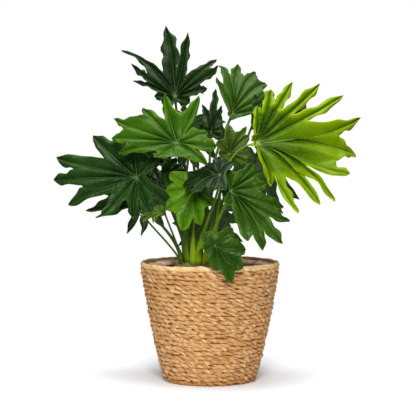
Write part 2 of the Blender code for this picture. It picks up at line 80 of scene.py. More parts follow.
# shape of a blade, in blade lengths
FOLD = 0.18                  # rise of both halves from the midrib
FOLD_SOFT = 0.05             # roundness of that fold
TIP_LIFT = 0.09              # lift or drop of a lobe's tip, in turn round the blade
LOBE_TWIST = 0.45            # roll of a lobe about its vein, in turn round the blade
LOBE_CUP = 0.25              # rise of a lobe's edges from its vein
EDGE_SWELLS = (0.22, 1.6)    # usual size and number of the swells along a lobe's edge
LOBE_TAPER = 2.4             # usual taper of a lobe: higher keeps its width for longer
LOBE_FILL = 1.4              # brings a lobe's widest place to its half width
WEB_FADE = 2.5               # how soon the web's curve leaves the notch
PART_FROM, PART_TO = 0.25, 0.85   # nearest and furthest share at which a lobe parts
QUILT = 0.044                # rise between the veins
RUFFLE = (0.020, 10.0)       # size and pace of the fine waves of the margin
SWAY = 0.012                 # size of the broad waves of the whole blade
# how far a wave moves on from lobe to lobe, from side to side of a lobe and leaf to leaf
SWELL_SHIFT = (2.4, 1.3, 1.7)
LIFT_SHIFT = (2.4, 1.7)      # from lobe to lobe and leaf to leaf
TWIST_SHIFT = (3.1, 1.1)

CROWN_CENTRE = (-0.024, 0.004)
CROWN_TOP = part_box("root_crown")[1][2]
SOIL_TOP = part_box("soil")[1][2]
STALK_FOOT = 0.0026          # stalk feet stand this far above the crown's top
STALK_SINK = 0.006           # how far each stalk runs on down below its foot
STALK_SPLAY = 0.25           # usual outward lean of a stalk's foot
STALK_PULL = 0.35            # how far a stalk holds its first and last direction
STALK_SIZE = (0.0062, 0.0021)   # usual half width at the foot and at the blade
STALK_SIDES = 16
STALK_RINGS = 44

CAMERA_PLACE = (-0.0034, -2.8, 0.445)
CAMERA_TARGET = (-0.0034, 0.0, 0.297)
CAMERA_LENS = 140.9          # millimetres
FLOOR_REACH = 0.8
FLOOR_FADE = (0.30, 0.75)    # distances over which the floor fades out
WORLD_LIGHT = 0.22
# place, target, size and power of each lamp
LAMPS = {"key": ((0.0, -2.1, 1.3), (0, 0, 0.3), 0.7, 45.0),
         "side": ((-1.7, -1.6, 0.7), (0, 0, 0.2), 0.8, 4.0),
         "top": ((0.0, 0.1, 2.3), (0, 0, 0.3), 2.2, 62.0)}


# ---------------------------------------------------------------- the leaves
# at: where the stalk meets the blade; face: compass turn from the front and tilt up of the
# upper side; spin: turn of the midrib in the blade's own plane, from its horizontal; length:
# the blade length in which its lobes are given;
# bend: curl along the midrib; side: droop of both sides; wave: size and number of the swells
# along a lobe's edge; point: how late a lobe tapers to its tip; tone and upper: slot of the
# blade, and finish of its upper side where that differs; for some blades that finish is a
# darker copy with painted shade.
# foot: distance and compass angle of the stalk's foot from the crown's centre; splay: outward
# lean there; arrive: direction of the stalk's upper end; stalk and stalk_tone: its half widths
# and finish.
# lobes: angle from the midrib, reach and half width in blade lengths, how far out (of the
# two reaches) the notch before the next lobe lies, and the turn of the lobe's tip.


def even_lobes(pairs, half_width=0.10, notch=0.62, back_notch=0.22):
    """The same lobes on both sides of the midrib; pairs run from the stalk to the tip."""
    right = [(-angle, reach, half_width, notch, -12) for angle, reach in pairs]
    left = [(angle, reach, half_width, notch, 12) for angle, reach in reversed(pairs)]
    lobes = right + [(0, 1.0, half_width, notch, 6)] + left
    lobes[-1] = (*lobes[-1][:3], back_notch, 12)
    return lobes


FIVE_PAIRS = ((150, 0.42), (112, 0.60), (78, 0.74), (48, 0.86), (22, 0.95))
FOUR_PAIRS = FIVE_PAIRS[1:]
THREE_PAIRS = FIVE_PAIRS[2:]

LEAVES = {
    "left_big": dict(
        at=(-0.124, -0.022, 0.350), face=(-8, 30), spin=180, length=0.155, foot=(0.028, 180),
        arrive=(0.7, -0.1, 1.0), splay=0.6, stalk=(0.0040, 0.0015),
        tone="leaf_dark", bend=0.35, side=0.2, point=5.5, wave=(0.14, 1.0),
        lobes=[(-130, 0.34, 0.06, 0.72, 0), (-85, 0.42, 0.09, 0.75, -10),
               (-45, 0.83, 0.052, 0.50, 6), (-16, 0.96, 0.068, 0.76, 10), (-3, 1.0, 0.054, 0.68, 0),
               (20, 0.83, 0.072, 0.44, -8), (60, 0.62, 0.056, 0.58, -6), (89, 0.48, 0.044, 0.58, 0),
               (112, 0.50, 0.052, 0.64, 8), (138, 0.53, 0.060, 0.22, 0)]),
    "left_upper": dict(
        at=(-0.055, -0.060, 0.409), face=(-5, 32), spin=171, length=0.117, foot=(0.016, 200),
        arrive=(-0.85, -0.35, 0.35), stalk=(0.0100, 0.0021), stalk_tone="stalk_mid",
        tone="leaf_mid", bend=0.4, side=0.2, point=3.0, wave=(0.25, 1.4),
        lobes=[(-178, 0.56, 0.09, 0.85, 0), (-146, 0.48, 0.12, 0.20, 0), (-100, 0.84, 0.065, 0.56, 10),
               (-66, 0.84, 0.055, 0.48, 0), (-41, 0.90, 0.055, 0.80, 10), (-17, 1.04, 0.045, 0.82, 8),
               (-3, 1.05, 0.075, 0.74, 0), (14, 0.88, 0.07, 0.55, -6), (55, 0.42, 0.08, 0.55, 0),
               (155, 0.55, 0.07, 0.45, 0)]),
    "crown_top": dict(
        upper="leaf_deep",
        at=(-0.060, 0.0, 0.487), face=(0, 22), spin=96, length=0.136, foot=(0.006, 100),
        tone="leaf_dark", bend=0.3, side=0.2, point=2.8, wave=(0.24, 2.8),
        lobes=[(-115, 0.20, 0.07, 0.7, 0), (-80, 0.42, 0.06, 0.6, 0), (-62, 0.66, 0.05, 0.75, 10),
               (-49, 0.77, 0.055, 0.36, 12), (-16, 0.93, 0.06, 0.32, 14), (1, 1.06, 0.10, 0.36, 6),
               (38, 1.0, 0.036, 0.56, 6), (48, 0.68, 0.04, 0.58, -14), (60, 0.58, 0.03, 0.56, 0),
               (82, 0.26, 0.05, 0.6, 0), (120, 0.20, 0.07, 0.4, 0)]),
    "top_right": dict(
        upper="leaf_fresh",
        at=(0.039, 0.068, 0.457), face=(15, 32), spin=77, length=0.110, foot=(0.016, 70),
        arrive=(0.45, 0.0, 0.9),
        tone="leaf_dark", bend=0.4, side=0.2, point=3.0, wave=(0.2, 1.2),
        lobes=[(-66, 0.46, 0.04, 0.8, 0), (-50, 0.74, 0.09, 0.80, 0), (-32, 1.0, 0.08, 0.84, 0),
               (-18, 1.18, 0.06, 0.76, 0), (-2, 1.12, 0.08, 0.70, 0), (11, 1.22, 0.06, 0.62, 6),
               (26, 0.72, 0.05, 0.62, 0), (60, 0.06, 0.03, 0.5, 0)]),
    "top_right_inner": dict(
        at=(0.087, 0.036, 0.476), face=(10, 20), spin=-92, length=0.060, foot=(0.016, 15),
        tone="leaf_dark", bend=0.4, side=0.2,
        lobes=[(-140, 0.30, 0.10, 0.7, 0), (-70, 0.26, 0.10, 0.8, 0), (-16, 0.80, 0.08, 0.8, 0),
               (0, 1.0, 0.09, 0.75, 0), (20, 0.90, 0.09, 0.7, 0), (60, 0.70, 0.10, 0.6, 0),
               (130, 0.40, 0.12, 0.5, 0)]),
    "right_big": dict(
        at=(0.077, -0.050, 0.409), face=(12, 28), spin=0, length=0.173, foot=(0.028, -20),
        arrive=(0.9, -0.3, 0.1), stalk=(0.0066, 0.0015), stalk_tone="stalk_bright",
        tone="leaf_young", bend=0.3, side=0.15, point=6.0, wave=(0.22, 2.0),
        lobes=[(-105, 0.07, 0.03, 0.8, 0), (-76, 0.46, 0.03, 0.6, 0), (-69, 0.85, 0.040, 0.54, 10),
               (-50, 0.87, 0.036, 0.52, -10), (-38, 0.96, 0.036, 0.55, -8),
               (-22, 0.94, 0.048, 0.82, 10), (-1, 1.12, 0.058, 0.76, -8),
               (17, 1.21, 0.040, 0.50, 10), (30, 1.10, 0.044, 0.44, -10), (43, 1.08, 0.042, 0.48, -12),
               (57, 0.74, 0.040, 0.66, -8), (70, 0.62, 0.050, 0.70, 6),
               (82, 0.40, 0.03, 0.7, 0), (112, 0.06, 0.03, 0.4, 0)]),
    "right_lower": dict(
        upper="leaf_fresh",
        at=(0.033, -0.090, 0.330), face=(10, 38), spin=-54, length=0.124, foot=(0.028, -55),
        stalk=(0.0066, 0.0021), stalk_tone="stalk_bright",
        tone="leaf_dark", bend=0.4, side=0.2, point=3.0, wave=(0.25, 1.5),
        lobes=[(-90, 0.12, 0.06, 0.8, 0), (-48, 0.26, 0.06, 0.75, 0), (-26, 0.80, 0.08, 0.76, 0),
               (-10, 0.94, 0.075, 0.72, 0), (3, 1.0, 0.07, 0.66, -8), (25, 0.90, 0.06, 0.74, 8),
               (37, 0.76, 0.08, 0.60, 0), (62, 0.50, 0.09, 0.64, 0), (90, 0.60, 0.06, 0.74, 8),
               (102, 0.54, 0.06, 0.6, 8), (142, 0.30, 0.12, 0.4, 0)]),
    "rim_front": dict(
        upper="leaf_fresh",
        at=(0.007, -0.126, 0.242), face=(5, 12), spin=-65, length=0.066, foot=(0.028, -80),
        stalk=(0.0052, 0.0019), stalk_tone="stalk_bright",
        tone="leaf_dark", bend=0.2, side=0.2, point=3.0, wave=(0.12, 1.0),
        lobes=[(-165, 0.44, 0.14, 0.75, 0), (-88, 0.30, 0.12, 0.85, 0), (-20, 0.64, 0.12, 0.92, 0),
               (0, 1.0, 0.10, 0.86, 0), (26, 0.90, 0.10, 0.84, 0), (58, 0.80, 0.12, 0.80, 8),
               (107, 0.62, 0.12, 0.50, 8)]),
    "centre_hanging": dict(
        upper="leaf_lit",
        at=(-0.024, -0.062, 0.334), face=(-5, 30), spin=-105, length=0.078, foot=(0.028, -100),
        stalk=(0.0058, 0.0018), stalk_tone="stalk_bright",
        tone="leaf_mid", bend=0.4, side=0.3, point=3.0, wave=(0.12, 1.0),
        lobes=[(-105, 0.66, 0.14, 0.7, 0), (-70, 0.66, 0.12, 0.75, 0), (-38, 0.80, 0.12, 0.8, 0),
               (0, 1.0, 0.11, 0.76, 0), (24, 0.85, 0.10, 0.7, 0), (57, 0.58, 0.14, 0.7, 0),
               (100, 0.40, 0.14, 0.5, 0)]),
    "centre_upright": dict(
        upper="leaf_deep",
        at=(0.002, 0.040, 0.427), face=(0, 25), spin=88, length=0.083, foot=(0.006, -20),
        tone="leaf_dark", bend=0.3, side=0.2, point=2.6, wave=(0.3, 2.0),
        lobes=[(-120, 0.25, 0.09, 0.7, 0), (-76, 0.30, 0.09, 0.7, 0), (-20, 0.62, 0.05, 0.62, -8),
               (-3, 1.15, 0.06, 0.50, 6), (18, 0.70, 0.05, 0.62, 8), (68, 0.26, 0.09, 0.7, 0),
               (120, 0.25, 0.09, 0.5, 0)]),
    "centre_right": dict(
        at=(0.032, -0.014, 0.390), face=(5, 22), spin=60, length=0.060, foot=(0.016, -30),
        tone="leaf_olive", bend=0.4, side=0.2, point=3.0, wave=(0.15, 1.0),
        lobes=[(-120, 0.40, 0.12, 0.8, 0), (-88, 0.56, 0.12, 0.75, 0), (-64, 0.60, 0.12, 0.7, 0),
               (-15, 0.92, 0.09, 0.75, 0), (-2, 1.06, 0.07, 0.7, 0), (27, 1.0, 0.10, 0.6, 0),
               (70, 0.50, 0.12, 0.7, 0), (120, 0.30, 0.12, 0.5, 0)]),
    "centre_dark": dict(
        upper="leaf_deep", stalk=(0.0062, 0.0019), stalk_tone="stalk_bright",
        at=(0.017, -0.092, 0.357), face=(-12, 55), spin=180, length=0.072, foot=(0.016, -75),
        tone="leaf_dark", bend=0.7, side=0.4, lobes=even_lobes(FOUR_PAIRS, 0.11, 0.65)),
    "left_small": dict(
        at=(-0.078, -0.020, 0.291), face=(-150, 45), spin=5, length=0.054, foot=(0.028, 205),
        stalk=(0.0040, 0.0016), tone="leaf_olive", bend=0.5, side=0.5,
        lobes=even_lobes(((100, 0.30), (60, 0.50), (28, 0.78)), 0.10, 0.68)),
    "left_back": dict(
        upper="leaf_deep",
        at=(-0.102, 0.070, 0.371), face=(-12, 35), spin=147, length=0.105, foot=(0.016, 150),
        tone="leaf_dark", bend=0.4, side=0.3, lobes=even_lobes(FIVE_PAIRS, 0.09, 0.54)),
    "left_under": dict(
        at=(-0.120, 0.024, 0.310), face=(-10, 20), spin=185, length=0.112, foot=(0.028, 155),
        tone="leaf_dark", bend=0.5, side=0.3,
        lobes=[(-110, 0.36, 0.10, 0.6, 0), (-60, 0.75, 0.08, 0.55, 6), (-25, 0.90, 0.07, 0.55, 6),
               (2, 0.98, 0.05, 0.62, -8), (18, 0.74, 0.05, 0.40, -6), (60, 0.30, 0.08, 0.5, 0),
               (120, 0.24, 0.08, 0.5, 0)]),
    "right_back": dict(
        upper="leaf_deep",
        at=(0.132, 0.075, 0.410), face=(15, 30), spin=0, length=0.088, foot=(0.028, 10),
        tone="leaf_dark", bend=0.4, side=0.2,
        lobes=[(-130, 0.36, 0.12, 0.6, 0), (-108, 0.98, 0.09, 0.50, 8), (-74, 1.08, 0.09, 0.50, 8),
               (-35, 0.80, 0.10, 0.60, 0), (0, 0.75, 0.10, 0.60, 0), (28, 0.95, 0.06, 0.55, 0),
               (58, 1.10, 0.10, 0.50, -8), (95, 0.50, 0.12, 0.60, 0), (150, 0.35, 0.12, 0.45, 0)]),
    "centre_left": dict(
        at=(-0.078, 0.006, 0.357), face=(0, 20), spin=8, length=0.040, foot=(0.006, 205),
        tone="leaf_dark", bend=0.5, side=0.3, lobes=even_lobes(THREE_PAIRS, 0.14, 0.70)),
    "back_top": dict(
        at=(-0.034, 0.140, 0.440), face=(178, 40), spin=-75, length=0.105, foot=(0.028, 130),
        tone="leaf_mid", bend=0.5, side=0.3, lobes=even_lobes(FIVE_PAIRS, 0.07, 0.54)),
    "back_right": dict(
        at=(0.082, 0.154, 0.375), face=(150, 40), spin=-80, length=0.125, foot=(0.028, 50),
        tone="leaf_dark", bend=0.5, side=0.3, lobes=even_lobes(FIVE_PAIRS, 0.07, 0.54)),
    "back_hanging": dict(
        at=(0.0, 0.155, 0.275), face=(184, 22), spin=-92, length=0.095, foot=(0.028, 78),
        tone="leaf_dark", bend=0.4, side=0.3, lobes=even_lobes(FIVE_PAIRS, 0.07, 0.54)),
    "back_left": dict(
        at=(-0.100, 0.146, 0.335), face=(215, 40), spin=-95, length=0.115, foot=(0.028, 108),
        tone="leaf_dark", bend=0.5, side=0.3, lobes=even_lobes(FIVE_PAIRS, 0.07, 0.54)),
}

UP = np.array([0.0, 0.0, 1.0])
TURN = 2 * math.pi
FINISHES = {}                # the finishes made here, kept apart from the frame's own


# ---------------------------------------------------------------- small maths
def unit(vector):
    vector = np.asarray(vector, float)
    return vector / np.linalg.norm(vector)


def unit_rows(rows):
    return rows / np.maximum(np.linalg.norm(rows, axis=1), 1e-12)[:, None]


def square_to(ahead, rows):
    """Unit rows at right angles to the directions ahead, as near as can be to the given rows."""
    return unit_rows(rows - ahead * np.sum(rows * ahead, axis=1)[:, None])


def polar(angle, reach):
    turn = math.radians(angle)
    return reach * np.array([math.cos(turn), math.sin(turn)])


def smooth(value, low, high):
    share = np.clip((value - low) / (high - low), 0.0, 1.0)
    return share * share * (3 - 2 * share)


def turns(steps):
    return np.arange(steps) * TURN / steps


def circle(radius, turn, height):
    """A ring of points about the upright axis; radius and height may vary round it."""
    level = np.broadcast_to(height, turn.shape)
    return np.stack([radius * np.cos(turn), radius * np.sin(turn), level], -1)


def ripple(turn, rng, waves, size):
    """A smooth random value round a circle: a few sine waves of the given numbers."""
    total = np.zeros_like(turn)
    for count in waves:
        total = total + rng.normal() * np.sin(count * turn + rng.uniform(0, TURN))
    return size * total / math.sqrt(len(waves))


def basket_radius(z):
    heights, radii = zip(*BASKET_PROFILE)
    return np.interp(z, heights, radii)


# ---------------------------------------------------------------- meshes
def add_piece(name, points, faces, finishes, which=None, marks=None, ride=True):
    mesh = bpy.data.meshes.new(name)
    mesh.from_pydata(np.asarray(points).tolist(), [], faces)
    for finish in finishes:
        mesh.materials.append(FINISHES[finish])
    if which is not None:
        mesh.polygons.foreach_set("material_index", np.asarray(which, np.int32))
    for label, values in (marks or {}).items():
        layer = mesh.attributes.new(label, "FLOAT", "POINT")
        layer.data.foreach_set("value", np.asarray(values, np.float32))
    mesh.shade_smooth()
    mesh.update()
    piece = bpy.data.objects.new(name, mesh)
    bpy.context.scene.collection.objects.link(piece)
    if ride:
        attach(piece, "root")
    return piece


class Shape:
    """Collects points, faces, marks and finish numbers of one piece."""

    def __init__(self):
        self.points, self.faces, self.which, self.marks = [], [], [], {}
        self.count = 0

    def add(self, points, faces, which=0, **marks):
        self.points.append(np.asarray(points, float))
        self.faces.extend([[v + self.count for v in face] for face in faces])
        self.which.extend([which] * len(faces))
        for label, values in marks.items():
            filled = np.broadcast_to(np.asarray(values, float), (len(points),))
            self.marks.setdefault(label, []).append(filled)
        self.count += len(points)

    def finish(self, name, *finishes):
        points = np.concatenate(self.points)
        marks = {label: np.concatenate(parts) for label, parts in self.marks.items()}
        return add_piece(name, points, self.faces, finishes, self.which, marks)


def band(low, high, steps, flip=False):
    """Quads between two rings whose first points have the given numbers."""
    faces = []
    for step in range(steps):
        after = (step + 1) % steps
        face = [low + step, low + after, high + after, high + step]
        faces.append([face[1], face[0], face[3], face[2]] if flip else face)
    return faces


def fan(ring, centre, steps, flip=False):
    """Triangles between a ring and the point in its middle."""
    faces = [[ring + step, ring + (step + 1) % steps, centre] for step in range(steps)]
    return [[b, a, middle] for a, b, middle in faces] if flip else faces


def grid_faces(rings, steps, first=0, flip=False):
    """Quads of an open stack of rings."""
    starts = [first + ring * steps for ring in range(rings)]
    return [face for low, high in zip(starts, starts[1:]) for face in band(low, high, steps, flip)]


def tube_faces(rings, sides, closed=False):
    """Quads of a tube; its ends meet where it is closed, and are flat where it isn't."""
    last = (rings - 1) * sides
    faces = grid_faces(rings, sides)
    if closed:
        return faces + band(last, 0, sides)
    return faces + [list(range(sides - 1, -1, -1)), list(range(last, last + sides))]


def turned(outline):
    """Points of an outline of (radius, height) turned about the upright axis."""
    turn = turns(ROUND_STEPS)
    return np.concatenate([circle(radius, turn, height) for radius, height in outline])


def sweep(path, across, out, wide, high):
    """Points of a section carried along a path; wide and high hold the section of each ring."""
    points = (path[:, None, :] + across[:, None, :] * wide[..., None]
              + out[:, None, :] * high[..., None])
    return points.reshape(-1, 3)


# ---------------------------------------------------------------- shader helpers
class Nodes:
    """Short names for building a node tree."""

    def __init__(self, tree):
        self.tree = tree

    def new(self, kind, **settings):
        node = self.tree.nodes.new("ShaderNode" + kind)
        for label, value in settings.items():
            setattr(node, label, value)
        return node

    def wire(self, source, target):
        self.tree.links.new(source, target)

    def feed(self, socket, value):
        """Wires a socket to another, or sets its plain value; a tuple is a colour."""
        if isinstance(value, bpy.types.NodeSocket):
            self.wire(value, socket)
        elif isinstance(value, tuple):
            socket.default_value = (*value, 1.0)
        else:
            socket.default_value = value

    def math(self, operation, first, second=0.0):
        node = self.new("Math", operation=operation)
        self.feed(node.inputs[0], first)
        self.feed(node.inputs[1], second)
        return node.outputs[0]

    def times(self, first, second):
        return self.math("MULTIPLY", first, second)

    def plus(self, first, second):
        return self.math("ADD", first, second)

    def ramp(self, value, low, high, start=0.0, end=1.0):
        node = self.new("MapRange", interpolation_type="SMOOTHSTEP")
        self.feed(node.inputs["Value"], value)
        self.feed(node.inputs["From Min"], low)
        self.feed(node.inputs["From Max"], high)
        node.inputs["To Min"].default_value = start
        node.inputs["To Max"].default_value = end
        return node.outputs["Result"]

    def mix(self, share, first, second):
        node = self.new("Mix", data_type="RGBA", clamp_factor=True)
        self.feed(node.inputs["Factor"], share)
        self.feed(node.inputs["A"], first)
        self.feed(node.inputs["B"], second)
        return node.outputs["Result"]

    def tint(self, tone, colour, mask, strength):
        """The tone with a share of a colour where the mask is high."""
        return self.mix(self.times(mask, strength), tone, colour)

    def mark(self, label):
        return self.new("Attribute", attribute_name=label).outputs["Fac"]

    def place(self):
        return self.new("TexCoord").outputs["Object"]

    def noise(self, scale, detail=2.0, rough=0.5, vector=None, w=None, warp=0.0):
        node = self.new("TexNoise", noise_dimensions="3D" if w is None else "4D")
        self.wire(self.place() if vector is None else vector, node.inputs["Vector"])
        if w is not None:
            self.feed(node.inputs["W"], w)
        settings = {"Scale": scale, "Detail": detail, "Roughness": rough, "Distortion": warp}
        for label, value in settings.items():
            self.feed(node.inputs[label], value)
        return node.outputs["Fac"]

    def combine(self, x, y, z):
        node = self.new("CombineXYZ")
        for socket, value in zip(node.inputs, (x, y, z)):
            self.feed(socket, value)
        return node.outputs[0]


def new_group(name, takes, gives):
    """Empty shader node group of plain values; returns its nodes, inputs and outputs."""
    tree = bpy.data.node_groups.new(name, "ShaderNodeTree")
    for label, value in takes.items():
        socket = tree.interface.new_socket(label, in_out="INPUT", socket_type="NodeSocketFloat")
        socket.default_value = value
    for label in gives:
        tree.interface.new_socket(label, in_out="OUTPUT", socket_type="NodeSocketFloat")
    start = tree.nodes.new("NodeGroupInput")
    end = tree.nodes.new("NodeGroupOutput")
    return Nodes(tree), start.outputs, end.inputs


def use_group(nodes, name, **values):
    node = nodes.new("Group")
    node.node_tree = bpy.data.node_groups[name]
    for label, value in values.items():
        nodes.feed(node.inputs[label], value)
    return node.outputs


def new_material(name, roughness=0.5, **constants):
    """A material with a Principled shader whose plain values are set on its own sockets."""
    made = bpy.data.materials.new(name)
    FINISHES[name] = made
    made.use_nodes = True
    nodes = Nodes(made.node_tree)
    shader = made.node_tree.nodes["Principled BSDF"]
    nodes.feed(shader.inputs["Roughness"], roughness)
    for label, value in constants.items():
        nodes.feed(shader.inputs[label.replace("_", " ")], value)
    return nodes, shader


def add_bump(nodes, shader, height, distance, strength=1.0):
    bump = nodes.new("Bump")
    nodes.feed(bump.inputs["Strength"], strength)
    nodes.feed(bump.inputs["Distance"], distance)
    nodes.feed(bump.inputs["Height"], height)
    nodes.wire(bump.outputs["Normal"], shader.inputs["Normal"])


# ---------------------------------------------------------------- shared effects
VEIN_SLANT = 0.85            # how much a side vein runs forwards as it leaves its main vein
VEIN_WANDER = 0.9            # how far side veins stray, in spacings
SIDE_VEIN_WIDTH = 0.085      # in spacings


def make_vein_group():
    """Veins of a blade from its marks: distance from the lobe's vein, length along it and
    distance from the margin. Main veins, side veins that slant from them, the thin margin."""
    nodes, takes, gives = new_group("leaf_veins", {"Side Spacing": 0.0085, "Margin": 0.0010},
                                    ("Main", "Halo", "Side", "Margin", "Swell"))
    off, run, half, rim = (nodes.mark(label) for label in
                           ("vein_distance", "vein_run", "vein_half", "rim_distance"))
    main = nodes.math("SUBTRACT", 1.0, nodes.ramp(off, nodes.times(half, 0.55), half))
    halo = nodes.math("SUBTRACT", 1.0, nodes.ramp(off, half, nodes.times(half, 5.0)))
    lane = nodes.math("SUBTRACT", run, nodes.times(off, VEIN_SLANT))
    lane = nodes.plus(nodes.math("DIVIDE", lane, takes["Side Spacing"]),
                      nodes.times(nodes.noise(45.0, 1.0), VEIN_WANDER))
    wave = nodes.math("PINGPONG", lane, 0.5)
    side = nodes.times(nodes.ramp(wave, 0.0, SIDE_VEIN_WIDTH, 1.0, 0.0),
                       nodes.ramp(rim, 0.0008, 0.006))
    swell = nodes.times(nodes.math("SQRT", nodes.times(wave, 2.0)), nodes.ramp(off, 0.0, 0.004))
    margin = nodes.ramp(rim, 0.0, takes["Margin"], 1.0, 0.0)
    for socket, value in zip(gives, (main, halo, side, margin, swell)):
        nodes.wire(value, socket)


def make_mottle_group():
    """Broad and fine patches of a second tone."""
    nodes, takes, gives = new_group("mottle", {"Broad": 14.0, "Fine": 160.0}, ("Broad", "Fine"))
    for take, give, detail in zip(takes, gives, (2.0, 4.0)):
        nodes.wire(nodes.ramp(nodes.noise(take, detail), 0.36, 0.64), give)


def make_fibre_group():
    """Dry grass fibres that run along a strand. Streak is the fine fibre, Patch the tone of a
    longer stretch, and the last output how deep a place lies between the strands: the mask
    for the painted shade there."""
    nodes, takes, gives = new_group("grass_fibre", {"Along": 55.0, "Across": 2.6},
                                    ("Streak", "Patch", "Recess Shade"))
    parts = nodes.new("SeparateXYZ")
    nodes.wire(nodes.place(), parts.inputs[0])
    x, y, _ = parts.outputs
    fibre_place = nodes.combine(nodes.times(x, takes["Along"]), nodes.times(y, takes["Along"]),
                                nodes.times(nodes.mark("fibre_a"), takes["Across"]))
    streak = nodes.noise(1.0, 4.0, 0.62, fibre_place,
                         nodes.times(nodes.mark("fibre_b"), takes["Across"]))
    nodes.wire(nodes.ramp(streak, 0.28, 0.72), gives["Streak"])
    patch_place = nodes.combine(nodes.times(x, 75.0), nodes.times(y, 75.0),
                                nodes.times(nodes.mark("strand"), 7.0))
    patch = nodes.noise(1.0, 2.0, 0.5, patch_place, nodes.mark("strand"))
    nodes.wire(nodes.ramp(patch, 0.30, 0.70), gives["Patch"])
    nodes.wire(nodes.mark("recess"), gives["Recess Shade"])


# ---------------------------------------------------------------- finishes
def scaled(colour, share):
    return tuple(share * part for part in colour)


def make_leaf_finish(name, deep, pale, vein, margin, roughness=0.30, side=0.12,
                     veins=0.55, edge=0.5, spread=0.4, outside=0.35):
    """Waxy upper side of a blade: two tones of green, paler outwards by its spread, painted
    shade along the folds beside paler veins, and a thin pale margin."""
    nodes, shader = new_material(
        name, roughness, Specular_IOR_Level=0.13, Specular_Tint=(0.85, 1.0, 0.55))
    lines = use_group(nodes, "leaf_veins")
    patches = use_group(nodes, "mottle", Broad=16.0, Fine=210.0)
    outward = nodes.ramp(nodes.mark("vein_run"), 0.020, 0.170, 0.0, spread)
    tone = nodes.mix(nodes.plus(nodes.times(patches["Broad"], 1.0 - spread), outward), deep, pale)
    tone = nodes.tint(tone, pale, patches["Fine"], 0.16)
    outer = nodes.ramp(nodes.mark("rim_distance"), 0.001, 0.011, outside, 0.0)
    tone = nodes.mix(outer, tone, pale)
    # painted shade: a darker band along both sides of the main veins, where the folds lie
    tone = nodes.tint(tone, scaled(deep, 0.45), lines["Halo"], 0.65)
    tone = nodes.tint(tone, vein, lines["Side"], side)
    tone = nodes.tint(tone, vein, lines["Main"], veins)
    tone = nodes.tint(tone, margin, lines["Margin"], edge)
    nodes.wire(tone, shader.inputs["Base Color"])
    nodes.wire(nodes.ramp(patches["Fine"], 0.0, 1.0, roughness - 0.05, roughness + 0.09),
               shader.inputs["Roughness"])
    height = nodes.plus(nodes.times(lines["Swell"], 0.6), nodes.times(lines["Main"], -0.9))
    height = nodes.plus(height, nodes.times(patches["Fine"], 0.10))
    height = nodes.plus(height, nodes.times(nodes.noise(26.0, 1.0), 11.0))
    add_bump(nodes, shader, height, 0.0005, 0.8)


def make_underside_finish(name, deep, pale, vein):
    """Duller, paler underside with veins that stand out."""
    nodes, shader = new_material(
        name, 0.58, Specular_IOR_Level=0.18, Specular_Tint=(0.9, 1.0, 0.75))
    lines = use_group(nodes, "leaf_veins")
    patches = use_group(nodes, "mottle", Broad=18.0, Fine=240.0)
    tone = nodes.mix(patches["Broad"], deep, pale)
    tone = nodes.tint(tone, vein, lines["Side"], 0.5)
    tone = nodes.tint(tone, vein, lines["Halo"], 0.5)
    nodes.wire(tone, shader.inputs["Base Color"])
    height = nodes.plus(nodes.times(lines["Side"], 0.7), nodes.times(patches["Fine"], 0.15))
    add_bump(nodes, shader, height, 0.0006, 0.7)


def make_stalk_finish(name, base, body, streak):
    """Fleshy green stalk, pale at its foot, with fine lengthwise lines."""
    nodes, shader = new_material(name, 0.40, Specular_IOR_Level=0.25)
    up = nodes.mark("stalk_share")
    around = nodes.mark("stalk_turn")
    lines = nodes.noise(1.0, 3.0, 0.6, nodes.combine(nodes.times(nodes.math("SINE", around), 7.0),
                                                     nodes.times(nodes.math("COSINE", around), 7.0),
                                                     nodes.times(up, 3.0)))
    patches = use_group(nodes, "mottle", Broad=40.0, Fine=420.0)
    tone = nodes.mix(nodes.ramp(up, 0.02, 0.40), base, body)
    tone = nodes.tint(tone, streak, nodes.ramp(lines, 0.45, 0.65), 0.6)
    tone = nodes.mix(nodes.ramp(lines, 0.30, 0.44, 0.8, 0.0), tone, scaled(body, 0.35))
    tone = nodes.tint(tone, body, patches["Broad"], 0.25)
    nodes.wire(tone, shader.inputs["Base Color"])
    nodes.wire(nodes.ramp(patches["Fine"], 0.0, 1.0, 0.32, 0.46), shader.inputs["Roughness"])
    add_bump(nodes, shader, lines, 0.0005, 0.6)


def make_grass_finish(name, light, mid, dark, gap_shade):
    """Dry twisted seagrass: paler and darker fibres, and painted shade in the gaps between the
    strands.
    """
    nodes, shader = new_material(name, 0.72, Specular_IOR_Level=0.16)
    fibre = use_group(nodes, "grass_fibre")
    patches = use_group(nodes, "mottle", Broad=9.0, Fine=120.0)
    straw = tuple(min(1.0, 1.05 * part + 0.10) for part in light)
    tone = nodes.mix(fibre["Patch"], mid, light)
    tone = nodes.tint(tone, mid, patches["Broad"], 0.30)
    tone = nodes.mix(nodes.ramp(fibre["Streak"], 0.0, 0.55, 0.75, 0.0), tone, dark)
    tone = nodes.mix(nodes.ramp(fibre["Streak"], 0.62, 0.95, 0.0, 0.85), tone, straw)
    # painted shade: the gap tone over the places that lie deep between the strands
    tone = nodes.mix(nodes.ramp(fibre["Recess Shade"], 0.45, 1.0, 0.0, 0.85), tone, gap_shade)
    nodes.wire(tone, shader.inputs["Base Color"])
    nodes.wire(nodes.ramp(fibre["Streak"], 0.0, 1.0, 0.85, 0.58), shader.inputs["Roughness"])
    add_bump(nodes, shader, fibre["Streak"], 0.0009, 0.9)


def make_soil_finish():
    nodes, shader = new_material("potting_soil", 0.95, Specular_IOR_Level=0.2)
    patches = use_group(nodes, "mottle", Broad=60.0, Fine=700.0)
    tone = nodes.mix(patches["Broad"], (0.10, 0.052, 0.028), (0.20, 0.110, 0.058))
    tone = nodes.tint(tone, (0.20, 0.12, 0.065), patches["Fine"], 0.35)
    nodes.wire(tone, shader.inputs["Base Color"])
    add_bump(nodes, shader, nodes.noise(500.0, 5.0, 0.7), 0.0012)


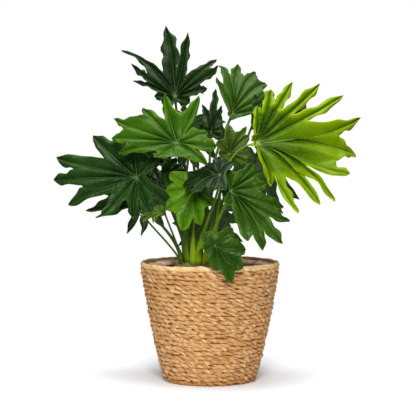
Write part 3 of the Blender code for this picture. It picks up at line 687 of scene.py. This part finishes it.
def make_bark_finish():
    nodes, shader = new_material("crown_bark", 0.8, Specular_IOR_Level=0.25)
    patches = use_group(nodes, "mottle", Broad=70.0, Fine=380.0)
    tone = nodes.mix(patches["Broad"], (0.16, 0.11, 0.04), (0.24, 0.24, 0.07))
    tone = nodes.tint(tone, (0.08, 0.05, 0.02), patches["Fine"], 0.4)
    nodes.wire(tone, shader.inputs["Base Color"])
    add_bump(nodes, shader, nodes.noise(260.0, 4.0, 0.7), 0.0014)


def make_film_finish():
    nodes, shader = new_material("liner_film", 0.28, Specular_IOR_Level=0.5, Coat_Weight=0.1)
    patches = use_group(nodes, "mottle", Broad=60.0, Fine=500.0)
    tone = nodes.mix(patches["Broad"], (0.62, 0.44, 0.32), (0.34, 0.19, 0.11))
    nodes.wire(tone, shader.inputs["Base Color"])
    add_bump(nodes, shader, nodes.noise(170.0, 3.0, 0.6, warp=1.2), 0.0012)


def make_pot_finish():
    nodes, shader = new_material("pot_plastic", 0.45, Specular_IOR_Level=0.45)
    patches = use_group(nodes, "mottle", Broad=30.0, Fine=900.0)
    tone = nodes.mix(patches["Broad"], (0.018, 0.018, 0.018), (0.035, 0.034, 0.032))
    nodes.wire(tone, shader.inputs["Base Color"])
    nodes.wire(nodes.ramp(patches["Fine"], 0.0, 1.0, 0.38, 0.56), shader.inputs["Roughness"])
    add_bump(nodes, shader, patches["Fine"], 0.0002)


# tones of each finish, and what differs from the usual one
LEAF_FINISHES = {
    # a darker copy of leaf_dark: painted shade for blades that lie in the shade of others
    "leaf_deep": dict(deep=(0.003, 0.013, 0.003), pale=(0.010, 0.032, 0.005),
                      vein=(0.030, 0.075, 0.012), margin=(0.07, 0.13, 0.01)),
    "leaf_dark": dict(deep=(0.005, 0.024, 0.004), pale=(0.017, 0.058, 0.007),
                      vein=(0.060, 0.145, 0.020), margin=(0.12, 0.23, 0.02), roughness=0.28),
    "leaf_fresh": dict(deep=(0.009, 0.036, 0.002), pale=(0.034, 0.092, 0.004),
                       vein=(0.080, 0.180, 0.012), margin=(0.18, 0.30, 0.01), outside=0.5),
    "leaf_mid": dict(deep=(0.013, 0.052, 0.001), pale=(0.044, 0.130, 0.002),
                     vein=(0.110, 0.250, 0.010), margin=(0.26, 0.40, 0.01),
                     veins=0.5, edge=0.65, outside=0.55),
    "leaf_lit": dict(deep=(0.024, 0.090, 0.002), pale=(0.105, 0.245, 0.004),
                     vein=(0.150, 0.310, 0.012), margin=(0.28, 0.42, 0.01),
                     veins=0.5, edge=0.6, outside=0.5),
    "leaf_olive": dict(deep=(0.014, 0.040, 0.001), pale=(0.046, 0.092, 0.003),
                       vein=(0.11, 0.18, 0.01), margin=(0.24, 0.34, 0.02),
                       roughness=0.42, edge=0.7),
    "leaf_young": dict(deep=(0.012, 0.060, 0.0003), pale=(0.180, 0.300, 0.001),
                       vein=(0.100, 0.225, 0.003), margin=(0.62, 0.68, 0.01), roughness=0.32,
                       side=0.14, veins=0.4, edge=1.0, spread=0.75, outside=0.9),
}
UNDERSIDE_FINISHES = {
    "underside_dark": ((0.030, 0.085, 0.025), (0.050, 0.120, 0.035), (0.13, 0.24, 0.07)),
    "underside_young": ((0.110, 0.250, 0.035), (0.180, 0.350, 0.050), (0.32, 0.50, 0.10)),
}
STALK_FINISHES = {
    "stalk_bright": ((0.30, 0.46, 0.012), (0.130, 0.240, 0.008), (0.24, 0.40, 0.02)),
    "stalk_mid": ((0.13, 0.26, 0.008), (0.070, 0.150, 0.006), (0.13, 0.25, 0.012)),
    "stalk_dark": ((0.09, 0.18, 0.006), (0.040, 0.095, 0.004), (0.08, 0.16, 0.010)),
}
# light, mid and dark tones of the fibres, then the painted shade tone of the gaps between strands
GRASS_FINISHES = {
    "seagrass": ((0.83, 0.52, 0.240), (0.56, 0.265, 0.076), (0.34, 0.125, 0.028),
                 (0.25, 0.085, 0.020)),
    "rim_grass": ((0.95, 0.71, 0.40), (0.80, 0.48, 0.19), (0.50, 0.24, 0.07), (0.22, 0.09, 0.025)),
    "base_grass": ((0.70, 0.35, 0.12), (0.50, 0.21, 0.055), (0.30, 0.10, 0.022),
                   (0.16, 0.05, 0.012)),
}
YOUNG_UNDERSIDES = ("leaf_young", "leaf_olive")


def make_finishes():
    make_vein_group()
    make_mottle_group()
    make_fibre_group()
    for name, settings in LEAF_FINISHES.items():
        make_leaf_finish(name, **settings)
    for make, table in ((make_underside_finish, UNDERSIDE_FINISHES),
                        (make_stalk_finish, STALK_FINISHES), (make_grass_finish, GRASS_FINISHES)):
        for name, tones in table.items():
            make(name, *tones)
    make_soil_finish()
    make_bark_finish()
    make_film_finish()
    make_pot_finish()


# ---------------------------------------------------------------- twisted grass rope
def add_rope(shape, radius, height, rng, strands=2, section=ROPE_STRAND, core=ROPE_CORE,
             lay=ROPE_LAY, sides=8, loose=1.0, face_out=True):
    """One ring of rope: strands that go round each other as they go round the basket."""
    twists = max(3, round(TURN * radius / lay))
    steps = max(24, int(TURN * radius / 0.0026))
    turn = turns(steps)
    drift = ripple(turn, rng, (2, 3, 5, 7, 11, 17, 26), 0.0007 * loose)
    bulge = ripple(turn, rng, (2, 4, 9, 13, 21, 33), 0.0005 * loose)
    slack = ripple(turn, rng, (5, 8, 13, 19, 29, 43), 0.55 * loose)
    start = rng.uniform(0, TURN)
    outward = circle(1.0, turn, 0.0)
    around = turns(sides)
    grain = np.tile(around, steps)
    for number in range(strands):
        angle = -twists * turn + start + number * TURN / strands + slack
        size = 1 + ripple(turn, rng, (7, 17, 23, 31, 47), 0.20 * loose)
        spoke = np.cos(angle)[:, None] * outward + np.sin(angle)[:, None] * UP
        middle = outward * (radius + bulge)[:, None] + UP * (height + drift)[:, None]
        path = middle + spoke * (core * size)[:, None]
        ahead = unit_rows(np.roll(path, -1, axis=0) - np.roll(path, 1, axis=0))
        away = square_to(ahead, spoke)
        points = sweep(path, np.cross(ahead, away), away,
                       np.outer(section[0] * size, np.cos(around)),
                       np.outer(section[1] * size, np.sin(around)))
        points[:, 2] = np.maximum(points[:, 2], 0.0)
        # how deep each point lies between the strands: the mask of the painted shade in the gaps
        depth = core + section[1]
        if face_out:
            recess = (radius + depth - np.hypot(points[:, 0], points[:, 1])) / depth
        else:
            recess = (points[:, 2] - height + depth) / depth
        tone = rng.uniform(0, 9)
        shape.add(points, tube_faces(steps, sides, True), 0, recess=np.clip(recess, 0, 1),
                  fibre_a=np.cos(grain) + 3 * tone, fibre_b=np.sin(grain) + 5 * tone,
                  strand=tone + 0.83 * np.repeat(np.floor(-angle / TURN), sides) % 7)


def add_backing(shape, bottom, top):
    """The layer behind some rows of the wall, seen only between them; it takes the painted shade tone
    of the gaps all over.
    """
    heights = np.linspace(bottom, top, 5)
    front, back = ([(float(basket_radius(z)) - depth, z) for z in heights]
                   for depth in BACKING_DEPTHS)
    outline = front + back[::-1] + front[:1]
    # marked as deepest everywhere, so the whole layer takes the painted shade tone of the gaps
    shape.add(turned(outline), grid_faces(len(outline), ROUND_STEPS),
              recess=1.0, fibre_a=0.0, fibre_b=0.0, strand=0.0)


def make_basket():
    rng = np.random.default_rng(5)
    rows = round((LAST_ROW - FIRST_ROW) / ROPE_PITCH)
    heights = np.linspace(FIRST_ROW, LAST_ROW, rows + 1)
    inset = ROPE_CORE + ROPE_STRAND[1] - ROPE_PROUD
    cuts = (1, rows // 3 + 1, 2 * rows // 3 + 1, rows + 1)
    for label, first, last in zip(("low", "middle", "high"), cuts, cuts[1:]):
        shape = Shape()
        add_backing(shape, heights[first] - ROPE_PITCH / 2, heights[last - 1] + ROPE_PITCH / 2)
        for height in heights[first:last]:
            add_rope(shape, float(basket_radius(height)) - inset, height, rng)
        wall = shape.finish("rope_wall_" + label, "seagrass")
        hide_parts("basket_wall")
    shape = Shape()
    add_rope(shape, float(basket_radius(FIRST_ROW)) - inset, heights[0], rng)
    for coil in range(BASE_COILS):
        add_rope(shape, BASE_FIRST_COIL + coil * BASE_COIL_STEP, FIRST_ROW, rng,
                 face_out=False, lay=BASE_LAY)
    base = shape.finish("rope_base", "base_grass")
    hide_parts("basket_base")
    shape = Shape()
    add_rope(shape, float(basket_radius(RIM_ROW)) - RIM_INSET, RIM_ROW + RIM_RISE, rng, **RIM_ROPE)
    rim = shape.finish("rope_rim", "rim_grass")
    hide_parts("basket_rim")


# ---------------------------------------------------------------- what stands in the basket
def make_liner():
    """Thin crinkled film that lines the basket, folds in over the pot and drops to the soil."""
    rng = np.random.default_rng(12)
    steps, wall_rows, fold_rows, drop_rows = 320, 26, 9, 6
    turn = turns(steps)
    folds = ripple(turn, rng, (14, 22, 31, 47, 61), 0.0005)
    frill = ripple(turn, rng, (9, 17, 26, 38, 53), 0.0011)
    edge = FILM_EDGE + ripple(turn, rng, (2, 3, 5, 8, 13, 21), 0.0012)
    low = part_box("plastic_liner")[0][2] + 0.001
    points = []
    for depth in (0.0, FILM_THICKNESS):
        for share in np.linspace(0, 1, wall_rows):
            height = low + (edge - low) * share
            clear = basket_radius(height) - FILM_GAP + folds * (0.3 + 0.9 * share) - depth
            points.append(circle(clear, turn, height))
        for share in np.linspace(0, 1, fold_rows + 1)[1:]:
            inward = clear - share * (FOLD_WIDTH + 2 * frill)
            height = edge - FOLD_DROOP * share ** 2 + frill * np.sin(math.pi * share) - depth
            points.append(circle(inward, turn, height))
        for share in np.linspace(0, 1, drop_rows + 1)[1:]:
            sag = height + (SOIL_TOP + 0.0012 + frill - height) * share
            within = inward - 0.0012 * math.sin(math.pi * share) + 0.4 * folds * share
            points.append(circle(within, turn, sag))
    rows = wall_rows + fold_rows + drop_rows
    back = rows * steps
    middles = [[0, 0, low], [0, 0, low + 0.0005]]
    shape = Shape()
    shape.add(np.concatenate(points + [middles]),
              grid_faces(rows, steps) + grid_faces(rows, steps, back, flip=True)
              + band(back - steps, 2 * back - steps, steps)
              + fan(0, 2 * back, steps, flip=True) + fan(back, 2 * back + 1, steps))
    film = shape.finish("liner_film", "liner_film")
    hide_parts("plastic_liner")


def make_pot():
    """Grower's pot: rolled rim, thin wall with a step under the rim, closed floor."""
    low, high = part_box("nursery_pot")
    base, top = low[2], high[2]
    outside = [(0.0005, base), (0.058, base), (0.064, base + 0.003), (0.1000, top - 0.016),
               (0.1030, top - 0.015), (0.1034, top - 0.003), (0.1045, top - 0.0022),
               (0.1045, top - 0.0006), (0.1036, top)]
    inside = [(0.1014, top), (0.1006, top - 0.001), (0.0992, top - 0.014),
              (0.0625, base + 0.0016), (0.0005, base + 0.0016)]
    outline = outside + inside
    pot = add_piece("grower_pot", turned(outline), tube_faces(len(outline), ROUND_STEPS),
                    ["pot_plastic"])
    pot.data.set_sharp_from_angle(angle=math.radians(35))
    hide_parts("nursery_pot")


def chip(rng, size):
    """A rough lump: a six-sided double cone with random corners."""
    turn = turns(6) + rng.uniform(0, 1)
    ring = circle(1.0, turn, rng.uniform(-0.3, 0.3, 6))
    points = np.concatenate([ring, [[0, 0, 0.8], [0, 0, -0.8]]]) * rng.uniform(0.7, 1.2, (8, 1))
    points = points * size * rng.uniform(0.6, 1.3, 3)
    angle = rng.uniform(0, TURN)
    spin = np.array([[math.cos(angle), -math.sin(angle), 0],
                     [math.sin(angle), math.cos(angle), 0], [0, 0, 1]])
    return points @ spin, fan(0, 6, 6) + fan(0, 7, 6, flip=True)


def make_soil():
    """Lumpy top of the soil with loose crumbs, closed at its floor."""
    rng = np.random.default_rng(31)
    low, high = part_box("soil")
    radius = high[0] - 0.0008
    rings, steps, settled = 46, 120, 0.0016
    turn = turns(steps)
    points = []
    for ring in range(rings):
        reach = radius * (ring + 1) / rings
        x, y = reach * np.cos(turn), reach * np.sin(turn)
        lumps = np.zeros(steps)
        for wave, size in ((55, 0.0012), (120, 0.0008), (260, 0.0005)):
            lumps = lumps + size * np.sin(wave * x + wave * 0.3) * np.cos(wave * y * 1.1 + 2)
        lumps = lumps + rng.normal(0, 0.0003, steps) - settled
        points.append(circle(reach, turn, SOIL_TOP + lumps))
    points.append(circle(radius * 0.66, turn, low[2]))
    ends = [[0, 0, SOIL_TOP - settled], [0, 0, low[2]]]
    middle = (rings + 1) * steps
    shape = Shape()
    shape.add(np.concatenate(points + [ends]),
              grid_faces(rings + 1, steps, flip=True) + fan(0, middle, steps)
              + fan(rings * steps, middle + 1, steps, flip=True))
    for _ in range(CRUMBS):
        reach = radius * 0.97 * math.sqrt(rng.uniform(0, 1))
        place = rng.uniform(0, TURN)
        lump, lump_faces = chip(rng, rng.uniform(*CRUMB_SIZE))
        spot = [reach * math.cos(place), reach * math.sin(place), SOIL_TOP - 0.0008]
        shape.add(lump + np.array(spot), lump_faces)
    soil = shape.finish("soil_surface", "potting_soil")
    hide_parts("soil")


def make_crown():
    """Short stem with the ringed scars of old leaves."""
    rng = np.random.default_rng(8)
    steps, rings = 72, 22
    turn = turns(steps)
    low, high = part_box("root_crown")
    radius = (high[0] - low[0]) / 2
    points = []
    for ring in range(rings):
        share = ring / (rings - 1)
        reach = radius * math.cos(0.5 * math.pi * max(0.0, share - 0.25) / 0.75 * 0.93)
        scar = 0.0008 * np.sin(5 * turn + 9 * share) + ripple(turn, rng, (9, 13, 21), 0.0004)
        height = low[2] - 0.003 + (CROWN_TOP - low[2] + 0.004) * share ** 0.8
        points.append(circle(reach + scar, turn, height + scar) + [*CROWN_CENTRE, 0.0])
    shape = Shape()
    shape.add(np.concatenate(points), tube_faces(rings, steps))
    crown = shape.finish("crown_stem", "crown_bark")
    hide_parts("root_crown")


# ---------------------------------------------------------------- leaf blades
def leaf_axes(leaf):
    """Directions of a blade: along its midrib, across it, and out of its upper side."""
    compass, tilt = (math.radians(value) for value in leaf["face"])
    out = np.array([math.cos(tilt) * math.sin(compass),
                    -math.cos(tilt) * math.cos(compass), math.sin(tilt)])
    level = unit(np.cross(UP, out))
    spin = math.radians(leaf["spin"])
    along = math.cos(spin) * level + math.sin(spin) * np.cross(out, level)
    return along, np.cross(out, along), out


def vein_bend(lobe):
    """Where a lobe's vein turns: away from the midrib, and to one side by its sweep."""
    angle, reach, _, _, sweep = lobe
    ahead = max(0.0, math.cos(math.radians(angle)))
    straight = 0.5 * polar(angle, reach)
    arched = np.array([0.42 * ahead * reach, 0.12 * math.sin(math.radians(angle))])
    aside = polar(angle + 90, 0.4 * reach * math.sin(math.radians(sweep)))
    return straight * (1 - ahead) + arched * ahead - aside


def arc(start, bend, end, t):
    t = np.asarray(t)[:, None]
    return (1 - t) ** 2 * start + 2 * (1 - t) * t * bend + t ** 2 * end


def notches(lobes):
    """The notch after each lobe, and the bend of the line that leads to it."""
    found = []
    for lobe, after in zip(lobes, lobes[1:] + lobes[:1]):
        turn = (after[0] - lobe[0]) % 360
        point = polar(lobe[0] + turn / 2, lobe[3] * (lobe[1] + after[1]) / 2)
        bend = (vein_bend(lobe) + vein_bend(after)) / 2 * lobe[3]
        found.append((point, bend if turn < 120 else point / 2))
    return found


def point_key(lobe, web, side, row, column, grid_size):
    """Name of a grid point, the same for the neighbours that share it."""
    rows, web_rows, columns = grid_size
    if row == 0:
        return "stalk"
    if column == 0 or row == rows:
        return "vein", lobe, row
    if column == columns and row <= web_rows:
        return "web", web, row
    return "blade", lobe, side, row, column


def flat_blade(leaf, number, grid_size):
    """Fine grid of a flat blade of unit length. Each point's marks are: share along its vein,
    share from vein to edge, freedom (0 where joined to the next lobe, 1 at the tip), lobe
    number, side of the vein, distance from the vein and run along the vein."""
    lobes = leaf["lobes"]
    rows, web_rows, columns = grid_size
    ids, points, marks, faces, veins = {}, [], [], [], []
    steps = np.arange(rows + 1)
    free = np.sin(0.5 * math.pi * np.arange(rows - web_rows + 1) / (rows - web_rows))
    t = free[:, None]
    fullness = LOBE_FILL * (1 - (1 - t) ** 2) * (1 - t ** leaf.get("point", LOBE_TAPER))
    ends = notches(lobes)
    size, count = leaf.get("wave", EDGE_SWELLS)
    by_lobe, by_side, by_leaf = SWELL_SHIFT
    for lobe, shape in enumerate(lobes):
        angle, reach, half_width, depth, _ = shape
        tip, bend = polar(angle, reach), vein_bend(shape)
        start = min(PART_TO, max(PART_FROM, 0.5 * (depth + lobes[lobe - 1][3])))
        along = np.concatenate([start * steps[:web_rows] / web_rows, start + (1 - start) * free])
        vein = arc(np.zeros(2), bend, tip, along)
        run = np.concatenate([[0.0], np.cumsum(np.linalg.norm(np.diff(vein, axis=0), axis=1))])
        heading = 2 * (1 - along)[:, None] * bend + 2 * along[:, None] * (tip - bend)
        heading = heading / np.linalg.norm(heading, axis=1)[:, None]
        for side in (1, -1):
            web = lobe if side > 0 else (lobe - 1) % len(lobes)
            notch, notch_bend = ends[web]
            away = side * np.stack([-heading[:, 1], heading[:, 0]], -1)
            web_line = arc(np.zeros(2), notch_bend, notch, steps[:web_rows + 1] / web_rows)
            swing = TURN * count * t + by_lobe * lobe + by_side * side + by_leaf * number
            margin = vein[web_rows:] + (notch - vein[web_rows]) * (1 - t) ** WEB_FADE
            margin = margin + away[web_rows:] * half_width * fullness * (1 + size * np.sin(swing))
            edge = np.concatenate([web_line, margin[1:]])
            grid = {}
            for row in steps:
                wide = np.linalg.norm(edge[row] - vein[row])
                for column in range(columns + 1):
                    share = column / columns
                    key = point_key(lobe, web, side, row, column, grid_size)
                    if key not in ids:
                        ids[key] = len(points)
                        points.append(vein[row] + (edge[row] - vein[row]) * share)
                        marks.append((along[row], share if 0 < row < rows else 0.0,
                                      free[max(0, row - web_rows)], lobe, side, wide * share,
                                      run[row]))
                    grid[row, column] = ids[key]
            for row in range(rows):
                for column in range(columns):
                    face = [grid[row, column], grid[row + 1, column],
                            grid[row + 1, column + 1], grid[row, column + 1]]
                    if side < 0:
                        face.reverse()
                    face = list(dict.fromkeys(face))
                    if len(face) > 2:
                        faces.append(face)
        veins.append([grid[row, 0] for row in steps])
    return np.array(points), np.array(marks).T, faces, veins


def shaped_blade(points, marks, leaf, number, rng):
    """Fold, curl and bend a flat blade, raise it between the veins and ruffle its margin."""
    p, q = points[:, 0], points[:, 1]
    along, share, free, lobe, side, wide, _ = marks
    lobe = lobe.astype(int)
    order = np.arange(len(leaf["lobes"]))
    lift = TIP_LIFT * np.sin(LIFT_SHIFT[0] * order + LIFT_SHIFT[1] * number)
    twist = LOBE_TWIST * np.sin(TWIST_SHIFT[0] * order + TWIST_SHIFT[1] * number)
    rise = FOLD * (np.sqrt(q ** 2 + FOLD_SOFT ** 2) - FOLD_SOFT)
    rise = rise + lift[lobe] * free ** 2 - leaf["side"] * q ** 2
    rise = rise + (twist[lobe] * side + LOBE_CUP) * wide * free
    joined = np.sin(0.5 * math.pi * share) * (1 - free) ** 2
    parted = 0.6 * np.sin(math.pi * share) * (1 - (1 - free) ** 2)
    rise = rise + QUILT * (joined + parted) * smooth(along, 0.0, 0.35)
    size, pace = RUFFLE
    phase = rng.uniform(0, TURN, (2, len(order)))
    ruffle = np.sin(pace * free + phase[(side > 0).astype(int), lobe])
    ruffle = ruffle * np.sqrt(np.clip(free * (1 - free) * 4, 0, 1))
    rise = rise + size * share ** 2 * ruffle
    sway = rng.uniform(0, TURN, 2)
    rise = rise + SWAY * np.sin(5.1 * p + sway[0]) * np.sin(4.3 * q + sway[1])
    turn = leaf["bend"] * p
    ahead = np.sin(turn) / leaf["bend"] + rise * np.sin(turn)
    out = -(1 - np.cos(turn)) / leaf["bend"] + rise * np.cos(turn)
    return np.stack([ahead, q, out], -1)


def point_normals(points, faces):
    normals = np.zeros_like(points)
    quads = np.array([face + face[-1:] if len(face) == 3 else face for face in faces])
    face_normal = np.cross(points[quads[:, 2]] - points[quads[:, 0]],
                           points[quads[:, 3]] - points[quads[:, 1]])
    for corner in range(4):
        np.add.at(normals, quads[:, corner], face_normal)
    return unit_rows(normals)


def open_edges(faces):
    """Directed edges with a face on one side only: the outline of a sheet."""
    seen = {edge for face in faces for edge in zip(face, face[1:] + face[:1])}
    return [(a, b) for a, b in seen if (b, a) not in seen]


def edge_distance(points, edges):
    """Each flat point's distance from the blade's outline, worked out in blocks."""
    outline = points[sorted({a for a, _ in edges})]
    nearest = []
    for block in np.array_split(points, 1 + len(points) // 500):
        gaps = np.linalg.norm(block[:, None, :] - outline[None, :, :], axis=2)
        nearest.append(gaps.min(axis=1))
    return np.concatenate(nearest)


def add_rib(shape, path, out, radii, sides=6):
    """A raised vein under the blade."""
    ahead = unit_rows(np.gradient(path, axis=0))
    out = square_to(ahead, out)
    around = turns(sides)
    points = sweep(path, np.cross(ahead, out), out,
                   np.outer(radii, np.cos(around)), np.outer(radii, np.sin(around)))
    shape.add(points, tube_faces(len(path), sides), 1, vein_distance=0.0,
              vein_run=0.01, vein_half=0.001, rim_distance=0.02)


def make_blade(name, leaf, number):
    """Two skins joined round the margin, with a rib under each lobe's vein."""
    rng = np.random.default_rng(100 + number)
    length = leaf["length"]
    rows = int(14 + length / BLADE_ROW)
    columns = 5 if length < SMALL_BLADE else 7
    points, marks, faces, veins = flat_blade(leaf, number, (rows, rows // 2, columns))
    edges = open_edges(faces)
    local = shaped_blade(points, marks, leaf, number, rng) * length
    placed = np.array(leaf["at"]) + local @ np.stack(leaf_axes(leaf))
    out = point_normals(placed, faces)
    half_skin = out * BLADE_THICKNESS / 2
    vein_scale = (length / FULL_LENGTH) ** 0.5
    values = {"vein_distance": marks[5] * length, "vein_run": marks[6] * length,
              "vein_half": 0.0003 + 0.0013 * (1 - marks[0]) ** 1.3 * vein_scale,
              "rim_distance": edge_distance(points, edges) * length}
    shape = Shape()
    shape.add(np.concatenate([placed + half_skin, placed - half_skin]), faces, 0,
              **{label: np.tile(value, 2) for label, value in values.items()})
    count = len(placed)
    under = [[v + count for v in reversed(face)] for face in faces]
    edge_faces = [[b, a, a + count, b + count] for a, b in edges]
    shape.faces.extend(under + edge_faces)
    shape.which.extend([1] * len(under) + [0] * len(edge_faces))
    for vein in veins:
        inner = vein[:-2]
        share = np.linspace(0, 1, len(inner))
        add_rib(shape, placed[inner] - out[inner] * (BLADE_THICKNESS / 2), out[inner],
                (0.0011 - 0.0008 * share) * vein_scale)
    under_finish = "underside_young" if leaf["tone"] in YOUNG_UNDERSIDES else "underside_dark"
    blade = shape.finish("leaf_" + name, leaf.get("upper", leaf["tone"]), under_finish)
    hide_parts("blade_" + name)


# ---------------------------------------------------------------- leaf stalks
def stalk_path(leaf):
    """Points of a stalk from its foot on the crown to the back of its blade."""
    distance, compass = leaf["foot"]
    outward = np.array([*polar(compass, 1.0), 0.0])
    foot = np.array([*CROWN_CENTRE, CROWN_TOP + STALK_FOOT]) + outward * distance
    at = np.array(leaf["at"])
    out = leaf_axes(leaf)[2]
    arrive = unit(leaf.get("arrive", unit(at - foot) * 0.9 + out * 0.55 + UP * 0.1))
    tip = at - out * 0.0012
    pull = np.linalg.norm(tip - foot) * STALK_PULL
    first = foot + unit(outward * leaf.get("splay", STALK_SPLAY) + UP) * pull
    last = tip - arrive * pull
    t = np.linspace(0, 1, STALK_RINGS)[:, None]
    path = ((1 - t) ** 3 * foot + 3 * (1 - t) ** 2 * t * first
            + 3 * (1 - t) * t ** 2 * last + t ** 3 * tip)
    return path, outward


def make_stalk(name, leaf):
    """Fleshy stalk: broad and hollowed at its sheathing foot, round and slim at the blade."""
    path, outward = stalk_path(leaf)
    path[0] = path[0] - UP * STALK_SINK
    broad, slim = leaf.get("stalk", STALK_SIZE)
    share = np.linspace(0, 1, STALK_RINGS)
    sheath = 1 - smooth(share, 0.04, 0.42)
    knuckle = np.exp(-((share - 0.985) / 0.02) ** 2) * 0.0006
    wide = slim + (broad * 0.50 - slim) * (1 - share) ** 1.8 + broad * 0.50 * sheath + knuckle
    thin = slim + (broad * 0.55 - slim) * (1 - share) ** 1.6 + knuckle
    ahead = unit_rows(np.gradient(path, axis=0))
    inward = square_to(ahead, -np.tile(outward, (STALK_RINGS, 1)))
    around = turns(STALK_SIDES)
    groove = np.outer(0.25 + 0.9 * sheath, np.exp(-((around - math.pi / 2) / 0.55) ** 2))
    points = sweep(path, np.cross(ahead, inward), inward, np.outer(wide, np.cos(around)),
                   thin[:, None] * (np.sin(around) - groove))
    shape = Shape()
    shape.add(points, tube_faces(STALK_RINGS, STALK_SIDES), 0,
              stalk_share=np.repeat(share, STALK_SIDES), stalk_turn=np.tile(around, STALK_RINGS))
    stalk = shape.finish("stalk_" + name, leaf.get("stalk_tone", "stalk_dark"))
    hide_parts("petiole_" + name)


# ---------------------------------------------------------------- room, light, camera
def stand(name, thing_data, place, target):
    """Stand a lamp or the camera at a place, turned towards its target."""
    thing = bpy.data.objects.new(name, thing_data)
    thing.location = place
    direction = np.array(target) - np.array(place)
    level = math.hypot(direction[0], direction[1])
    thing.rotation_euler = (math.atan2(level, -direction[2]), 0.0,
                            math.atan2(-direction[0], direction[1]))
    bpy.context.scene.collection.objects.link(thing)
    return thing


def make_room():
    nodes, shader = new_material("pale_floor", 0.9, Specular_IOR_Level=0.1,
                                 Base_Color=(0.885, 0.905, 0.93))
    away = nodes.new("VectorMath", operation="LENGTH")
    nodes.wire(nodes.place(), away.inputs[0])
    nodes.wire(nodes.ramp(away.outputs["Value"], *FLOOR_FADE, 1.0, 0.0), shader.inputs["Alpha"])
    corners = [(-1, -1, 0), (1, -1, 0), (1, 1, 0), (-1, 1, 0)]
    floor = add_piece("floor", FLOOR_REACH * np.array(corners), [[0, 1, 2, 3]], ["pale_floor"],
                      ride=False)
    world = bpy.data.worlds.new("studio")
    bpy.context.scene.world = world
    world.use_nodes = True
    nodes = Nodes(world.node_tree)
    sky = world.node_tree.nodes["Background"]
    nodes.feed(sky.inputs["Color"], (1.0, 1.0, 1.0))
    seen = nodes.new("LightPath").outputs["Is Camera Ray"]
    nodes.wire(nodes.ramp(seen, 0.0, 1.0, WORLD_LIGHT, 1.0), sky.inputs["Strength"])
    for name, (place, target, size, power) in LAMPS.items():
        lamp = bpy.data.lights.new(name, "AREA")
        lamp.shape = "DISK"
        lamp.size = size
        lamp.energy = power
        stand(name, lamp, place, target)


def make_camera():
    lens = bpy.data.cameras.new("camera")
    lens.lens = CAMERA_LENS
    lens.sensor_width = 36.0
    lens.clip_end = 60.0
    bpy.context.scene.camera = stand("camera", lens, CAMERA_PLACE, CAMERA_TARGET)


def main():
    bpy.context.scene.view_settings.view_transform = "Standard"
    make_camera()
    make_finishes()
    make_basket()
    make_liner()
    make_pot()
    make_soil()
    make_crown()
    for number, (name, leaf) in enumerate(LEAVES.items()):
        make_stalk(name, leaf)
        make_blade(name, leaf, number)
    make_room()


main()
